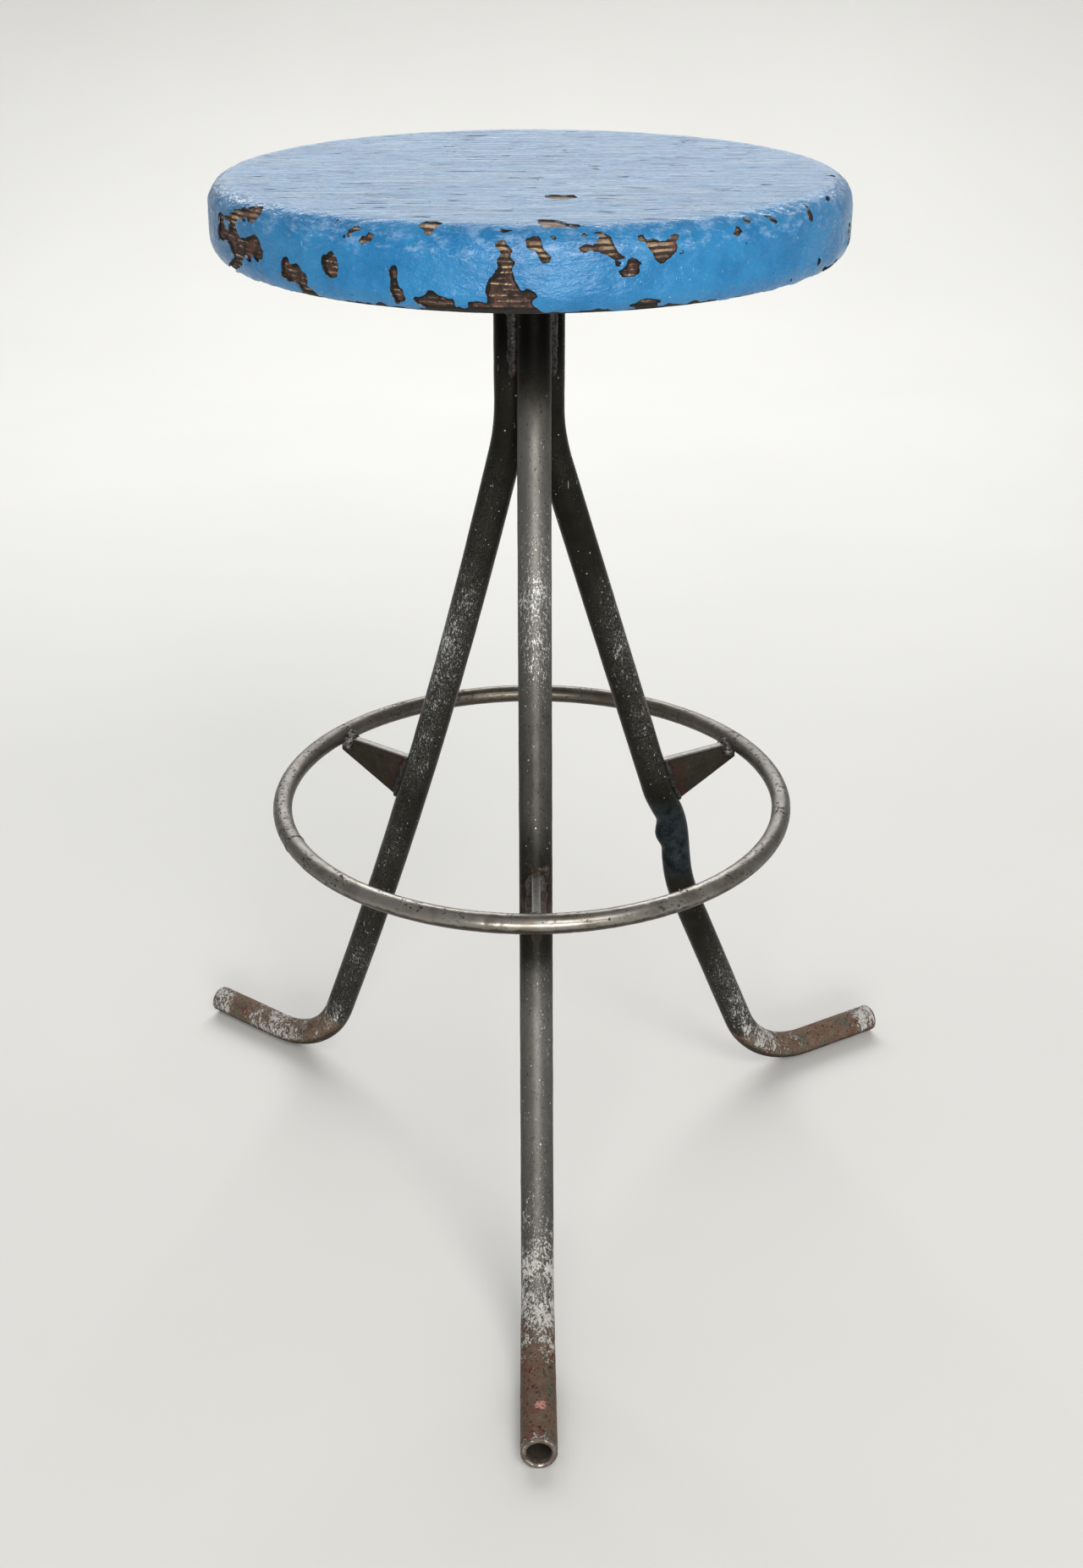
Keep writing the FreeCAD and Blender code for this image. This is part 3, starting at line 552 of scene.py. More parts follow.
# ---------------------------------------------------------------- seat
# Chips in the paint of the rim. x runs along the rim from the front, to the right, and y runs
# down over the edge from where the flat top ends.
RIM_CHIPS = [
    # the big patch on the left
    [(-170, 10), (-165, 8), (-158, 8), (-155, 11), (-157, 15), (-161, 17), (-165, 17.5), (-167, 15.5),
     (-171, 16), (-175, 18), (-178, 21), (-177, 24), (-173, 26.5), (-168, 26), (-162, 23), (-158, 22),
     (-153.5, 23.5), (-152, 27), (-149.5, 30), (-152, 33), (-157, 35.5), (-162, 34), (-163, 37), (-167, 38),
     (-169, 34.5), (-172, 36), (-174, 40), (-179, 43), (-186, 45), (-193, 48), (-205, 53), (-218, 57),
     (-230, 59), (-230, 55), (-215, 52), (-200, 46), (-193, 43), (-187, 40), (-184, 38.5), (-186, 35),
     (-188, 32), (-195, 31), (-203, 32), (-207, 33), (-210, 31), (-208, 28), (-205, 23), (-204, 19),
     (-198, 17.5), (-192, 19), (-187, 16), (-180, 13), (-175, 11)],
    [(-139, 39.5), (-136, 37), (-136.5, 33), (-134, 30.5), (-131, 30), (-129.5, 32), (-125, 32.5),
     (-121, 35.5), (-117.5, 38), (-118, 41), (-120, 42), (-116, 44), (-115, 47), (-118, 50), (-123, 50),
     (-127, 49), (-126, 45), (-127, 43), (-132, 43), (-135, 41)],
    [(-108, 29.5), (-106.5, 26), (-103.5, 23.5), (-101, 23), (-98, 25.5), (-98, 33), (-98.5, 36),
     (-102, 36.5), (-105.5, 36), (-107, 33)],
    [(-93, 15.5), (-92.5, 12.5), (-90, 10.6), (-88, 10.4), (-86, 12), (-88.5, 12.2), (-90.5, 13.2),
     (-91.5, 16.5)],
    [(-85.5, 17.5), (-84, 15.2), (-81.5, 15.3), (-81, 12.5), (-79.5, 14), (-77.5, 14), (-79, 17), (-82, 17.7),
     (-84, 18.4)],
    [(-69, 28), (-67.5, 26.5), (-65, 27), (-65, 34), (-64.6, 37), (-63, 38), (-61.5, 43), (-65, 46),
     (-67.5, 47.5), (-69.2, 44), (-69.2, 36)],
    # the large one at the front, torn down to the lower edge
    [(-58, 42.5), (-55, 41), (-52, 39.5), (-50, 38), (-47.5, 37.3), (-44.5, 39), (-41, 41), (-37.5, 41.5),
     (-37, 45), (-33, 46.5), (-31, 46), (-30.5, 43), (-27, 42), (-22, 42.5), (-21.5, 40), (-22, 35),
     (-20.5, 30.5), (-17.5, 28.5), (-16, 26.5), (-17, 23.5), (-15.5, 20.5), (-14.5, 18), (-18, 15),
     (-15.5, 12.8), (-12, 12.5), (-11.3, 15.5), (-9, 18), (-9.8, 20.5), (-8, 23.5), (-10, 26.5), (-9, 29),
     (-7.5, 32), (-6, 35), (-1.5, 36), (2, 37), (3, 39.5), (0.5, 41), (0, 43), (2.5, 46), (5, 50), (8, 58),
     (-6, 61), (-30, 60), (-48, 59), (-50, 51), (-53, 46.5), (-56, 46)],
    [(-17.5, 8.6), (-14.5, 6.8), (-10, 6.8), (-7.6, 7.4), (-12, 9)],
    [(-3.2, 13), (-1.5, 11.3), (2.5, 10.8), (4, 14), (5, 17), (7.5, 19), (9.5, 21), (8, 23), (5, 23.5),
     (3, 21.5), (1, 19), (-2, 17)],
    [(17, 3.6), (20, 1.8), (23, 2.4), (23.7, 4.2), (21, 5.7), (18.6, 4.8)],
    [(21, 17), (24, 15.3), (27, 15.8), (28, 17), (30, 14), (32, 11.5), (29, 9.5), (31, 8.3), (34.5, 9.3),
     (37.7, 12), (37.7, 14), (39.7, 17.5), (41.2, 20.5), (44, 22.7), (40, 23.2), (36.5, 21.7), (33, 20.3),
     (29.5, 19.7), (27, 18), (25, 19.7), (22, 18.7)],
    [(22.5, 10.6), (24.5, 9.7), (26.5, 10.6), (24.6, 11.8)],
    [(-56, 4.5), (-54.5, 0.4), (-50, -0.6), (-46.5, 0.8), (-46, 6), (-48, 8), (-49, 11.6), (-51.5, 12.4),
     (-53, 9), (-55.5, 8)],
    [(3, -2), (17, -2), (17.6, 2.4), (14, 4.4), (9, 5.2), (5, 3.6)],
    [(41, 28.7), (44, 26), (45, 23.5), (47, 21.7), (50, 24), (51.7, 26.5), (51, 29), (48, 31), (43, 31)],
    [(50, 14), (51.5, 11.7), (53.3, 12.3), (53.7, 15), (50.5, 15.7)],
    [(54, 17), (55, 14.8), (60, 14.8), (64, 16), (67.5, 14), (71, 12.3), (72.8, 13.3), (70.4, 16), (70.5, 21),
     (67, 23), (62.5, 26.3), (59.5, 24.5), (56.5, 20.5)],
    [(70.7, 22), (72.6, 21.4), (73.3, 19.6), (74.4, 20.6), (73.6, 22.6), (71.6, 23.4)],
    [(47, 46.5), (50, 44.5), (52.5, 42.7), (57, 43.2), (63, 43), (64.5, 46), (62, 47.5), (64, 51), (67, 58),
     (58, 60), (55, 51), (50, 47.5)],
    [(79, 48), (81, 45.7), (84, 46.3), (87, 48.3), (92, 48.8), (94, 52), (98, 58), (88, 60), (83, 50.5)],
    [(100.6, 16.8), (104.5, 14.6), (106, 13.2), (107.8, 13.5), (108.2, 15.7), (106, 17.2)],
    [(108.4, 19.2), (111.6, 20), (111.6, 22.4), (109, 22.6)],
    [(112.5, 8), (116, 8.8), (118, 10), (115, 11.2), (113, 10.2)],
    [(127, 8.8), (131, 9.3), (133.5, 11.3), (135.8, 13.5), (132, 14.2), (129, 11.7)],
    [(163, 7.6), (165, 6.2), (167.2, 8), (165.7, 11), (165.2, 15), (163.5, 17.5), (160.3, 16.7),
     (161.8, 12.5), (163, 10)],
    [(188.3, 9.2), (191, 7.4), (195.3, 7.9), (193, 10.2), (190, 11.3)],
    [(169.5, 35), (172, 36.5), (175, 38), (173.5, 40), (171.5, 42), (170.5, 38.5)],
    [(182, 43), (186, 44.5), (194, 45.5), (203, 42.5), (207, 45), (198, 48), (189, 48.5), (184, 46.5)],
    [(-86, 49), (-80, 48.2), (-76, 46.5), (-73.5, 48.5), (-78, 50.5), (-84, 51.5)],
]
# places inside those chips where the paint has stayed
RIM_ISLANDS = [
    [(-194, 21), (-191, 19.8), (-187.5, 21), (-187, 24), (-190, 25), (-193.5, 23.5)],
    [(-204, 34), (-198, 32.4), (-190, 32.5), (-186.5, 36), (-190, 39), (-196, 38.5), (-203, 40.5)],
]
# chips in the flat top, as x and y over the floor
TOP_CHIPS = [
    [(7, -81), (14, -80), (22, -81.5), (23, -90), (18, -95), (10, -94), (7, -88)],
    [(3, -149), (9, -150), (14, -154), (16, -160), (17, -170), (4, -170), (3, -158)],
    [(158, -20), (163, -18), (164, -22), (160, -24)],
]


def outline_distance(x, y, outline):
    """Signed distance to a closed outline, below zero inside it."""
    corners = np.array(outline, float)
    nearest = np.full(len(x), 1e9)
    inside = np.zeros(len(x), bool)
    for (ax, ay), (bx, by) in zip(corners, np.roll(corners, -1, 0)):
        ex, ey = bx - ax, by - ay
        t = np.clip(((x - ax) * ex + (y - ay) * ey) / (ex * ex + ey * ey), 0, 1)
        nearest = np.minimum(nearest, np.hypot(x - ax - t * ex, y - ay - t * ey))
        if ay != by:
            crosses = ((ay > y) != (by > y)) & (x < (bx - ax) * (y - ay) / (by - ay) + ax)
            inside ^= crosses
    return np.where(inside, -nearest, nearest)


def seat_profile(down):
    """Radius, height and the outward normal at a distance down from where the flat top ends."""
    down = np.asarray(down, float)
    bend = np.clip(down, 0, ROUND) / SEAT_EDGE + np.clip(down - ROUND - BAND, 0, ROUND) / SEAT_EDGE
    normal_out, normal_up = np.sin(bend), np.cos(bend)
    radius = SEAT_FLAT + np.minimum(down, 0) + SEAT_EDGE * normal_out - np.maximum(down - RIM_LENGTH, 0)
    upper = down < ROUND + BAND / 2
    height = np.where(upper, SEAT_TOP - SEAT_EDGE, SEAT_UNDER + SEAT_EDGE) + SEAT_EDGE * normal_up
    height = height - np.clip(down - ROUND, 0, BAND) * upper + np.clip(ROUND + BAND - down, 0, BAND) * ~upper
    return radius, height, normal_out, normal_up


def polar_grid(rows, columns):
    """Triangles over rings at the given distances; rings near the middle have fewer points."""
    around, down, rings = [], [], []
    for row in rows:
        radius = seat_profile(row)[0]
        count = columns
        while count % 2 == 0 and radius / count < 0.55 * SEAT_RADIUS / columns:
            count //= 2
        if rings and abs(math.log2(count / len(rings[-1]))) > 1:
            count = len(rings[-1]) // 2 if count < len(rings[-1]) else len(rings[-1]) * 2
        rings.append(range(len(down), len(down) + count))
        around += [2 * math.pi * k / count for k in range(count)]
        down += [row] * count
    triangles = []
    for a, b in zip(rings, rings[1:]):
        ca, cb = len(a), len(b)
        if ca == cb:
            for k in range(ca):
                n = (k + 1) % ca
                triangles += [(a[k], b[k], b[n]), (a[k], b[n], a[n])]
        elif ca > cb:
            for k in range(cb):
                n = (k + 1) % cb
                m, e = 2 * k + 1, (2 * k + 2) % ca
                triangles += [(a[2 * k], b[k], a[m]), (a[m], b[k], b[n]), (a[m], b[n], a[e])]
        else:
            for k in range(ca):
                n = (k + 1) % ca
                m, e = 2 * k + 1, (2 * k + 2) % cb
                triangles += [(a[k], b[2 * k], b[m]), (a[k], b[m], a[n]), (a[n], b[m], b[e])]
    for ring, turn, centre in ((rings[0], 1, -SEAT_FLAT), (rings[-1], -1, RIM_LENGTH + SEAT_FLAT)):
        middle = len(down)
        around.append(0.0)
        down.append(centre)
        for k in range(len(ring)):
            triangle = (middle, ring[k], ring[(k + 1) % len(ring)])
            triangles.append(triangle[::turn])
    return np.array(around), np.array(down), np.array(triangles)


def seat_points(around, down, out):
    """Points on the seat's surface, moved out along its normal."""
    radius, height, normal_out, normal_up = seat_profile(down)
    radius = np.where(down <= -SEAT_FLAT, 0, radius) + out * normal_out
    height = height + out * normal_up
    return np.stack([radius * np.cos(around), radius * np.sin(around), height], 1)


def along_rim(around):
    """Distance along the rim from the front, positive to the right."""
    turn = (around + math.pi / 2 + math.pi) % (2 * math.pi) - math.pi
    return turn * SEAT_RADIUS


def random_chips():
    """Chips like those of the front for the sides and the back of the rim, and for the top."""
    draw = np.random.default_rng(11)
    half = math.pi * SEAT_RADIUS
    rim, top = [], []

    def ragged(x, y, width, height, corners, lean):
        outline = []
        for k in range(corners):
            turn = 2 * math.pi * k / corners
            reach = draw.uniform(0.55, 1.15)
            dx, dy = width * reach * math.cos(turn), height * reach * math.sin(turn)
            outline.append((x + dx + lean * dy, y + dy))
        return outline

    for _ in range(34):
        x = draw.uniform(222, 2 * half - 240)
        x = x if x < half else x - 2 * half
        size = min(11.0, 2.0 * math.exp(draw.normal(0.25, 0.65)))
        y = draw.choice([draw.uniform(6, 20), draw.uniform(18, 40), draw.uniform(42, 52)])
        rim.append(ragged(x, y, size * draw.uniform(0.9, 1.9), size * draw.uniform(0.7, 1.2), 11,
                          draw.uniform(-0.5, 0.5)))
    for _ in range(26):
        x = draw.uniform(-half, half)
        rim.append(ragged(x, draw.uniform(2, 46), draw.uniform(0.9, 2.0), draw.uniform(0.7, 1.3), 7, 0.3))
    for _ in range(12):
        turn, reach = draw.uniform(0, math.pi), draw.uniform(30, 150)
        top.append(ragged(reach * math.cos(turn), reach * math.sin(turn), draw.uniform(2.5, 7),
                          draw.uniform(0.7, 1.8), 9, 0))
    return rim, top


def paint_left(points, around, down):
    """Above zero where there is paint: about the distance to the nearest chip, in millimetres."""
    x = along_rim(around)
    left = np.full(len(x), 30.0)
    rim_more, top_more = random_chips()

    def near(outline, a, b):
        corners = np.array(outline)
        low, high = corners.min(0) - 6, corners.max(0) + 6
        return (a > low[0]) & (a < high[0]) & (b > low[1]) & (b < high[1])

    for outline in RIM_CHIPS + rim_more:
        some = near(outline, x, down)
        left[some] = np.minimum(left[some], outline_distance(x[some], down[some], outline))
    for outline in RIM_ISLANDS:
        some = near(outline, x, down)
        left[some] = np.maximum(left[some], -outline_distance(x[some], down[some], outline))
    on_top = down < 4
    for outline in TOP_CHIPS + top_more:
        some = near(outline, points[:, 0], points[:, 1]) & on_top
        left[some] = np.minimum(left[some], outline_distance(points[some, 0], points[some, 1], outline))
    border = PAINT_END + 2.7 * rough(points * (1, 1, 0), 15, 31, 4)
    left = np.minimum(left, border - down)
    return left + 0.85 * rough(points, 3.2, 41, 3)


def cut_open(points, inner, triangles, left):
    """Keeps the part of the triangles where left is above zero.

    Returns the outer and inner points with those added on the cut, the triangles kept, and the
    edges that border them.
    """
    keep = left > 0
    count = keep[triangles].sum(1)
    whole = triangles[count == 3]
    made, index, total = [], {}, len(points)
    extra_outer, extra_inner = [], []

    def crossing(a, b):
        nonlocal total
        key = (min(a, b), max(a, b))
        if key not in index:
            t = min(0.93, max(0.07, left[a] / (left[a] - left[b])))
            extra_outer.append(points[a] + (points[b] - points[a]) * t)
            extra_inner.append(inner[a] + (inner[b] - inner[a]) * t)
            index[key] = total
            total += 1
        return index[key]

    for triangle in triangles[(count == 1) | (count == 2)]:
        a, b, c = (int(i) for i in triangle)
        inside = int(keep[a]) + int(keep[b]) + int(keep[c])
        while (inside == 1 and not keep[a]) or (inside == 2 and keep[c]):
            a, b, c = b, c, a
        if inside == 1:
            made.append((a, crossing(a, b), crossing(a, c)))
        else:
            far, near = crossing(b, c), crossing(a, c)
            made += [(a, b, far), (a, far, near)]
    outer = np.vstack([points, np.array(extra_outer).reshape(-1, 3)])
    under = np.vstack([inner, np.array(extra_inner).reshape(-1, 3)])
    kept = np.vstack([whole, np.array(made)])
    directed = np.vstack([kept[:, [0, 1]], kept[:, [1, 2]], kept[:, [2, 0]]])
    keys = np.sort(directed, 1) @ np.array([len(outer), 1])
    _, first, times = np.unique(keys, return_index=True, return_counts=True)
    return outer, under, kept, directed[first[times == 1]]


def seat_uv(points, triangles, large_disc_up):
    """The rim in two level strips, one flat face in a large disc and the other in a small one.

    The constants are places in the unit square, and scale is its share per millimetre.
    """
    scale, small = 1 / 565, 0.65 / 565
    around = np.arctan2(points[:, 1], points[:, 0])
    x = along_rim(around)[triangles]
    middle = x[:, :1]
    half = math.pi * SEAT_RADIUS
    x = middle + (x - middle + half) % (2 * half) - half
    height = points[triangles][:, :, 2]
    radius = np.hypot(points[triangles][:, :, 0], points[triangles][:, :, 1])
    slant = np.clip(SEAT_TOP - height, 0, SEAT_TOP - SEAT_UNDER)
    upper = height > (SEAT_TOP + SEAT_UNDER) / 2
    down = slant + np.where(upper, SEAT_FLAT - radius, radius - SEAT_FLAT) * -0.55
    second = x.mean(1, keepdims=True) > 0
    left_edge = np.where(second, x, x + half)
    u = 0.008 + np.clip(left_edge, -8, half + 8) * scale
    v = 0.018 + np.where(second, 0.14, 0) + np.clip(down + 14, 0, 75) * scale
    flat_up = (radius.max(1) < SEAT_FLAT + 1) & (height.mean(1) > (SEAT_TOP + SEAT_UNDER) / 2)
    flat_down = (radius.max(1) < SEAT_FLAT + 1) & ~flat_up
    px, py = points[triangles][:, :, 0], points[triangles][:, :, 1]
    for chosen, large in ((flat_up, large_disc_up), (flat_down, not large_disc_up)):
        if large:
            u[chosen], v[chosen] = 0.295 + px[chosen] * scale, 0.66 + py[chosen] * scale
        else:
            u[chosen], v[chosen] = 0.79 + px[chosen] * small, 0.50 + py[chosen] * small
    return np.stack([u, v], -1)


def seat_paint(materials):
    """The film of paint: a closed shell with real openings where it has come off."""
    rows = list(np.arange(-SEAT_FLAT + 3, -20, 2.3)) + list(np.arange(-19, 62, 1.25))
    around, down, triangles = polar_grid(rows, 840)
    base = seat_points(around, down, 0)
    left = paint_left(base, around, down)
    flat = smooth(7, -5, down)
    relief = 0.17 * rough(base, 9, 3) + 0.09 * rough(base, 3.4, 5, 2)
    relief += flat * (0.15 * rough(base, (38, 5.5, 5), 7, 2) + 0.06 * lumps(base, (45, 30, 9), 8))
    old_chips = smooth(0.30, 0.50, rough(base, 17, 12)) * (1 - flat)
    relief -= 0.28 * old_chips
    relief += 0.20 * np.exp(-np.abs(left) / 1.2) * smooth(-0.1, 0.5, lumps(base, 14, 13))
    out = np.clip(relief, -0.7, 0.40) - PAINT_SET_BACK
    outer = seat_points(around, down, out)
    inner = seat_points(around, down, -PAINT_SET_BACK - PAINT_THICK)
    outer, inner, kept, border = cut_open(outer, inner, triangles, left)
    count = len(outer)
    faces = [tuple(t) for t in kept]
    faces += [tuple(t[::-1] + count) for t in kept]
    faces += [(b, a, a + count, b + count) for a, b in border]
    uv = seat_uv(outer, kept, True).reshape(-1, 2)
    # the hidden inner side goes into a small disc, and the broken edges into a row of slivers
    inner_uv = inner[kept[:, ::-1]][:, :, :2].reshape(-1, 2) / (2.6 * SEAT_RADIUS) * 0.9 + (0.79, 0.50)
    steps = np.arange(len(border)) / len(border) * 0.36
    sliver = ((0.61, 0.93), (0.611, 0.93), (0.611, 0.97), (0.61, 0.97))
    edge_uv = np.stack([np.stack([x + steps, np.full_like(steps, y)], 1) for x, y in sliver], 1)
    uv = np.vstack([uv, inner_uv, edge_uv.reshape(-1, 2)])
    points = np.vstack([outer, inner])
    used = np.zeros(len(points), bool)
    used[kept.ravel()] = True
    used[kept.ravel() + count] = True
    number = np.cumsum(used) - 1
    faces = [tuple(number[list(f)]) for f in faces]
    radius = np.hypot(points[:, 0], points[:, 1])
    is_flat = smooth(SEAT_FLAT + 9, SEAT_FLAT - 5, radius) * (points[:, 2] > SEAT_UNDER + SEAT_EDGE)
    # upper marks the upper rounded edge, which the paint material makes paler as a painted highlight
    upper = smooth(SEAT_FLAT - 2, SEAT_FLAT + 7, radius) * smooth(SEAT_TOP - 20, SEAT_TOP - 8, points[:, 2])
    return make_piece("seat_paint", points[used], faces, materials["paint"],
                      fields={"flat": is_flat[used], "upper": upper[used]}, uv=uv, edges=50,
                      second=materials["paint_edge"], second_faces=[0] * 2 * len(kept) + [1] * len(border))


def seat_core(materials):
    """The plywood itself, with its layers standing out of the rim where it is bare."""
    rows = list(np.arange(-SEAT_FLAT + 6, -22, 6)) + list(np.arange(-20, RIM_LENGTH + 8, 0.65))
    rows += list(np.arange(RIM_LENGTH + 10, RIM_LENGTH + SEAT_FLAT - 6, 5))
    around, down, triangles = polar_grid(rows, 640)
    base = seat_points(around, down, 0)
    depth = PAINT_SET_BACK + PAINT_THICK - 0.12
    under = smooth(54, 68, down)
    depth = depth * (1 - under) + 0.06 * under
    rim = smooth(-2, 6, down) * smooth(RIM_LENGTH + 2, RIM_LENGTH - 6, down)
    wobble = 0.5 * rough(base, (40, 40, 8), 21, 2)
    layer = np.sin(2 * math.pi * (base[:, 2] + wobble) / PLY)
    gouge = np.maximum(0, rough(base, (7, 7, 3), 23)) + 0.35 * np.abs(rough(base, 2.2, 24, 2))
    sunk = rim * (0.16 * (1 - layer) + 0.55 * gouge) + (1 - rim) * 0.10 * np.abs(rough(base, (25, 2, 4), 25))
    points = seat_points(around, down, -depth - sunk)
    points[:, 2] = np.maximum(points[:, 2], SEAT_UNDER + 0.03)
    flat = 1 - smooth(-4, 2, down) * smooth(RIM_LENGTH + 1, RIM_LENGTH - 5, down)
    # the paint's edge throws a thin shade, mostly down and to the right
    beside, above = around - 0.6 / SEAT_RADIUS, down - 0.7
    shaded = smooth(-2.2, -0.2, paint_left(seat_points(beside, above, 0), beside, above))
    # the lower rounded edge gets painted shade too, in a band where the paint ends; the plywood's material
    # reads all of it as its outline field
    shaded = np.maximum(shaded, smooth(45, 49, down) * (down < RIM_LENGTH - 1))
    return make_piece("seat_plywood", points, [tuple(t) for t in triangles], materials["plywood"],
                      ("seat_board",), {"flat": flat, "outline": shaded},
                      seat_uv(points, triangles, False).reshape(-1, 2), 60)


# ---------------------------------------------------------------- legs
def centre_line(corners, bends, step=1.5):
    """Points and directions along straight runs joined by tangent arcs, evenly spaced."""
    corners = [np.array(c, float) for c in corners]
    line = [corners[0]]
    for i, radius in enumerate(bends, start=1):
        back = corners[i - 1] - corners[i]
        ahead = corners[i + 1] - corners[i]
        back, ahead = back / np.linalg.norm(back), ahead / np.linalg.norm(ahead)
        turn = math.pi - math.acos(np.clip(back @ ahead, -1, 1))
        reach = radius * math.tan(turn / 2)
        to_centre = (back + ahead) / np.linalg.norm(back + ahead)
        centre = corners[i] + to_centre * math.hypot(radius, reach)
        start, end = corners[i] + back * reach - centre, corners[i] + ahead * reach - centre
        count = max(6, int(radius * turn / step))
        for k in range(count + 1):
            share = k / count
            spoke = start * math.sin((1 - share) * turn) + end * math.sin(share * turn)
            line.append(centre + spoke / math.sin(turn))
    line.append(corners[-1])
    line = np.array(line)
    length = np.r_[0, np.cumsum(np.linalg.norm(np.diff(line, axis=0), axis=1))]
    spots = np.linspace(0, length[-1], int(length[-1] / step) + 1)
    points = np.stack([np.interp(spots, length, line[:, k]) for k in (0, 1)], 1)
    ways = np.gradient(points, axis=0)
    ways /= np.linalg.norm(ways, axis=1)[:, None]
    return points, ways, spots


def leg_frame(side):
    """The foot of a leg's own upright axis, and its outward and sideways directions."""
    outward = heading(LEG_DIRECTION[side])
    return BUNDLE * heading(BUNDLE_TURN[side]), outward, np.array([-outward[1], outward[0], 0])


# how worn (0 to 1) each leg's lacquer is on the face turned to the light, at heights in millimetres; kept to
# that face, the pale worn grey is partly painted sheen
LEG_WEAR_AND_SHEEN = {
    "front": ([0, 30, 70, 110, 200, 300, 370, 400, 430, 470, 500, 545, 619],
              [0.30, 0.50, 0.62, 0.42, 0.34, 0.20, 0.28, 0.74, 0.78, 0.54, 0.38, 0.16, 0.0]),
    "rear_left": ([0, 30, 80, 140, 260, 330, 380, 410, 440, 500, 619],
                  [0.40, 0.60, 0.55, 0.36, 0.38, 0.64, 0.80, 0.72, 0.46, 0.26, 0.0]),
    "rear_right": ([0, 30, 70, 120, 200, 250, 310, 380, 420, 480, 619],
                   [0.40, 0.70, 0.62, 0.34, 0.05, 0.24, 0.44, 0.56, 0.42, 0.26, 0.0]),
}
# how far (0 to 1) each leg's lacquer has been rubbed down to grey, at heights in millimetres; that grey is
# partly painted sheen, and the front leg's low values at the ring and bracket are painted shadow
LEG_PATINA_AND_SHEEN = {
    "front": ([0, 60, 200, 226, 242, 285, 312, 400, 470, 520, 538, 556, 575, 619],
              [0.6, 0.62, 0.80, 0.56, 0.10, 0.24, 0.54, 0.64, 0.92, 0.92, 0.66, 0.20, 0.02, 0]),
    "rear_left": ([0, 140, 300, 420, 520, 619], [0.25, 0.12, 0.22, 0.28, 0.16, 0]),
    "rear_right": ([0, 140, 200, 280, 420, 520, 619], [0.25, 0.14, 0, 0.15, 0.24, 0.14, 0]),
}
# where around the tube that face is, in degrees from straight outwards
LIT_FACE = {"front": 0, "rear_left": 96, "rear_right": -75}
# distances back from the open end between which the rust fades out
RUST_FADE = {"front": (62, 118), "rear_left": (112, 168), "rear_right": (112, 158)}
# how flaky each foot is at some distances back from its open end
FLAKES = {
    "front": ([0, 7, 14, 48, 64, 80, 125, 150, 180, 215],
              [0.90, 0.66, 0.0, 0.10, 0.62, 0.95, 1.0, 0.72, 0.45, 0.10]),
    "rear_left": ([0, 14, 26, 40, 70, 112, 140, 185], [1.1, 0.95, 0.30, 0.75, 1.0, 0.70, 0.80, 0.20]),
    "rear_right": ([0, 18, 32, 60, 92, 112, 150, 200], [1.1, 0.95, 0.25, 0.45, 0.80, 1.0, 0.85, 0.20]),
}
# how much wider and thinner than a round tube each foot is
FOOT_WIDER = {"front": 0.075, "rear_left": -0.02, "rear_right": 0.0}
FOOT_THINNER = {"front": 0.05, "rear_left": 0.05, "rear_right": 0.03}
# the end of each tube from its outer edge into the bore: distance back and change of radius
LIP = [(0.75, -0.06), (0.25, -0.35), (0.03, -0.85), (0.0, -1.6), (0.05, -2.5), (0.5, -3.0), (1.4, -3.25),
       *((back, BORE - TUBE) for back in (4, 10, 22, 40, 70))]
FRONT_TRIM = 12                                      # degrees by which the front foot's end leans
KINK_HEIGHT = 231.0
# heights over which the kinked leg's blackened part begins and ends, and the shade under the seat
SCORCHED_FROM, SCORCHED_TO = (186, 206), (262, 244)
SEAT_SHADE = (545, 580)
STAIN_HEIGHT = 270                                   # middle of the stain at the front bracket
FLECK_BACK = 30                                      # pink fleck on the front foot, from its end


def kink(height, cosines, sines):
    """Change of radius where the rear right leg was hit: two folds, a lump between and a pinch."""
    folds = 0.9 * (hump(height, KINK_HEIGHT + 9, 5) + hump(height, KINK_HEIGHT - 16, 5))
    lump = 2.2 * hump(height, KINK_HEIGHT - 4, 7)
    inner, outer = np.clip(-cosines, 0, 1), np.clip(cosines, 0, 1)
    change = (lump - folds) * inner ** 2 + 0.9 * hump(height, KINK_HEIGHT, 9) * inner ** 3
    return change + 0.5 * hump(height, 222, 16) * outer ** 2 - 0.9 * hump(height, 205, 20) * sines ** 2


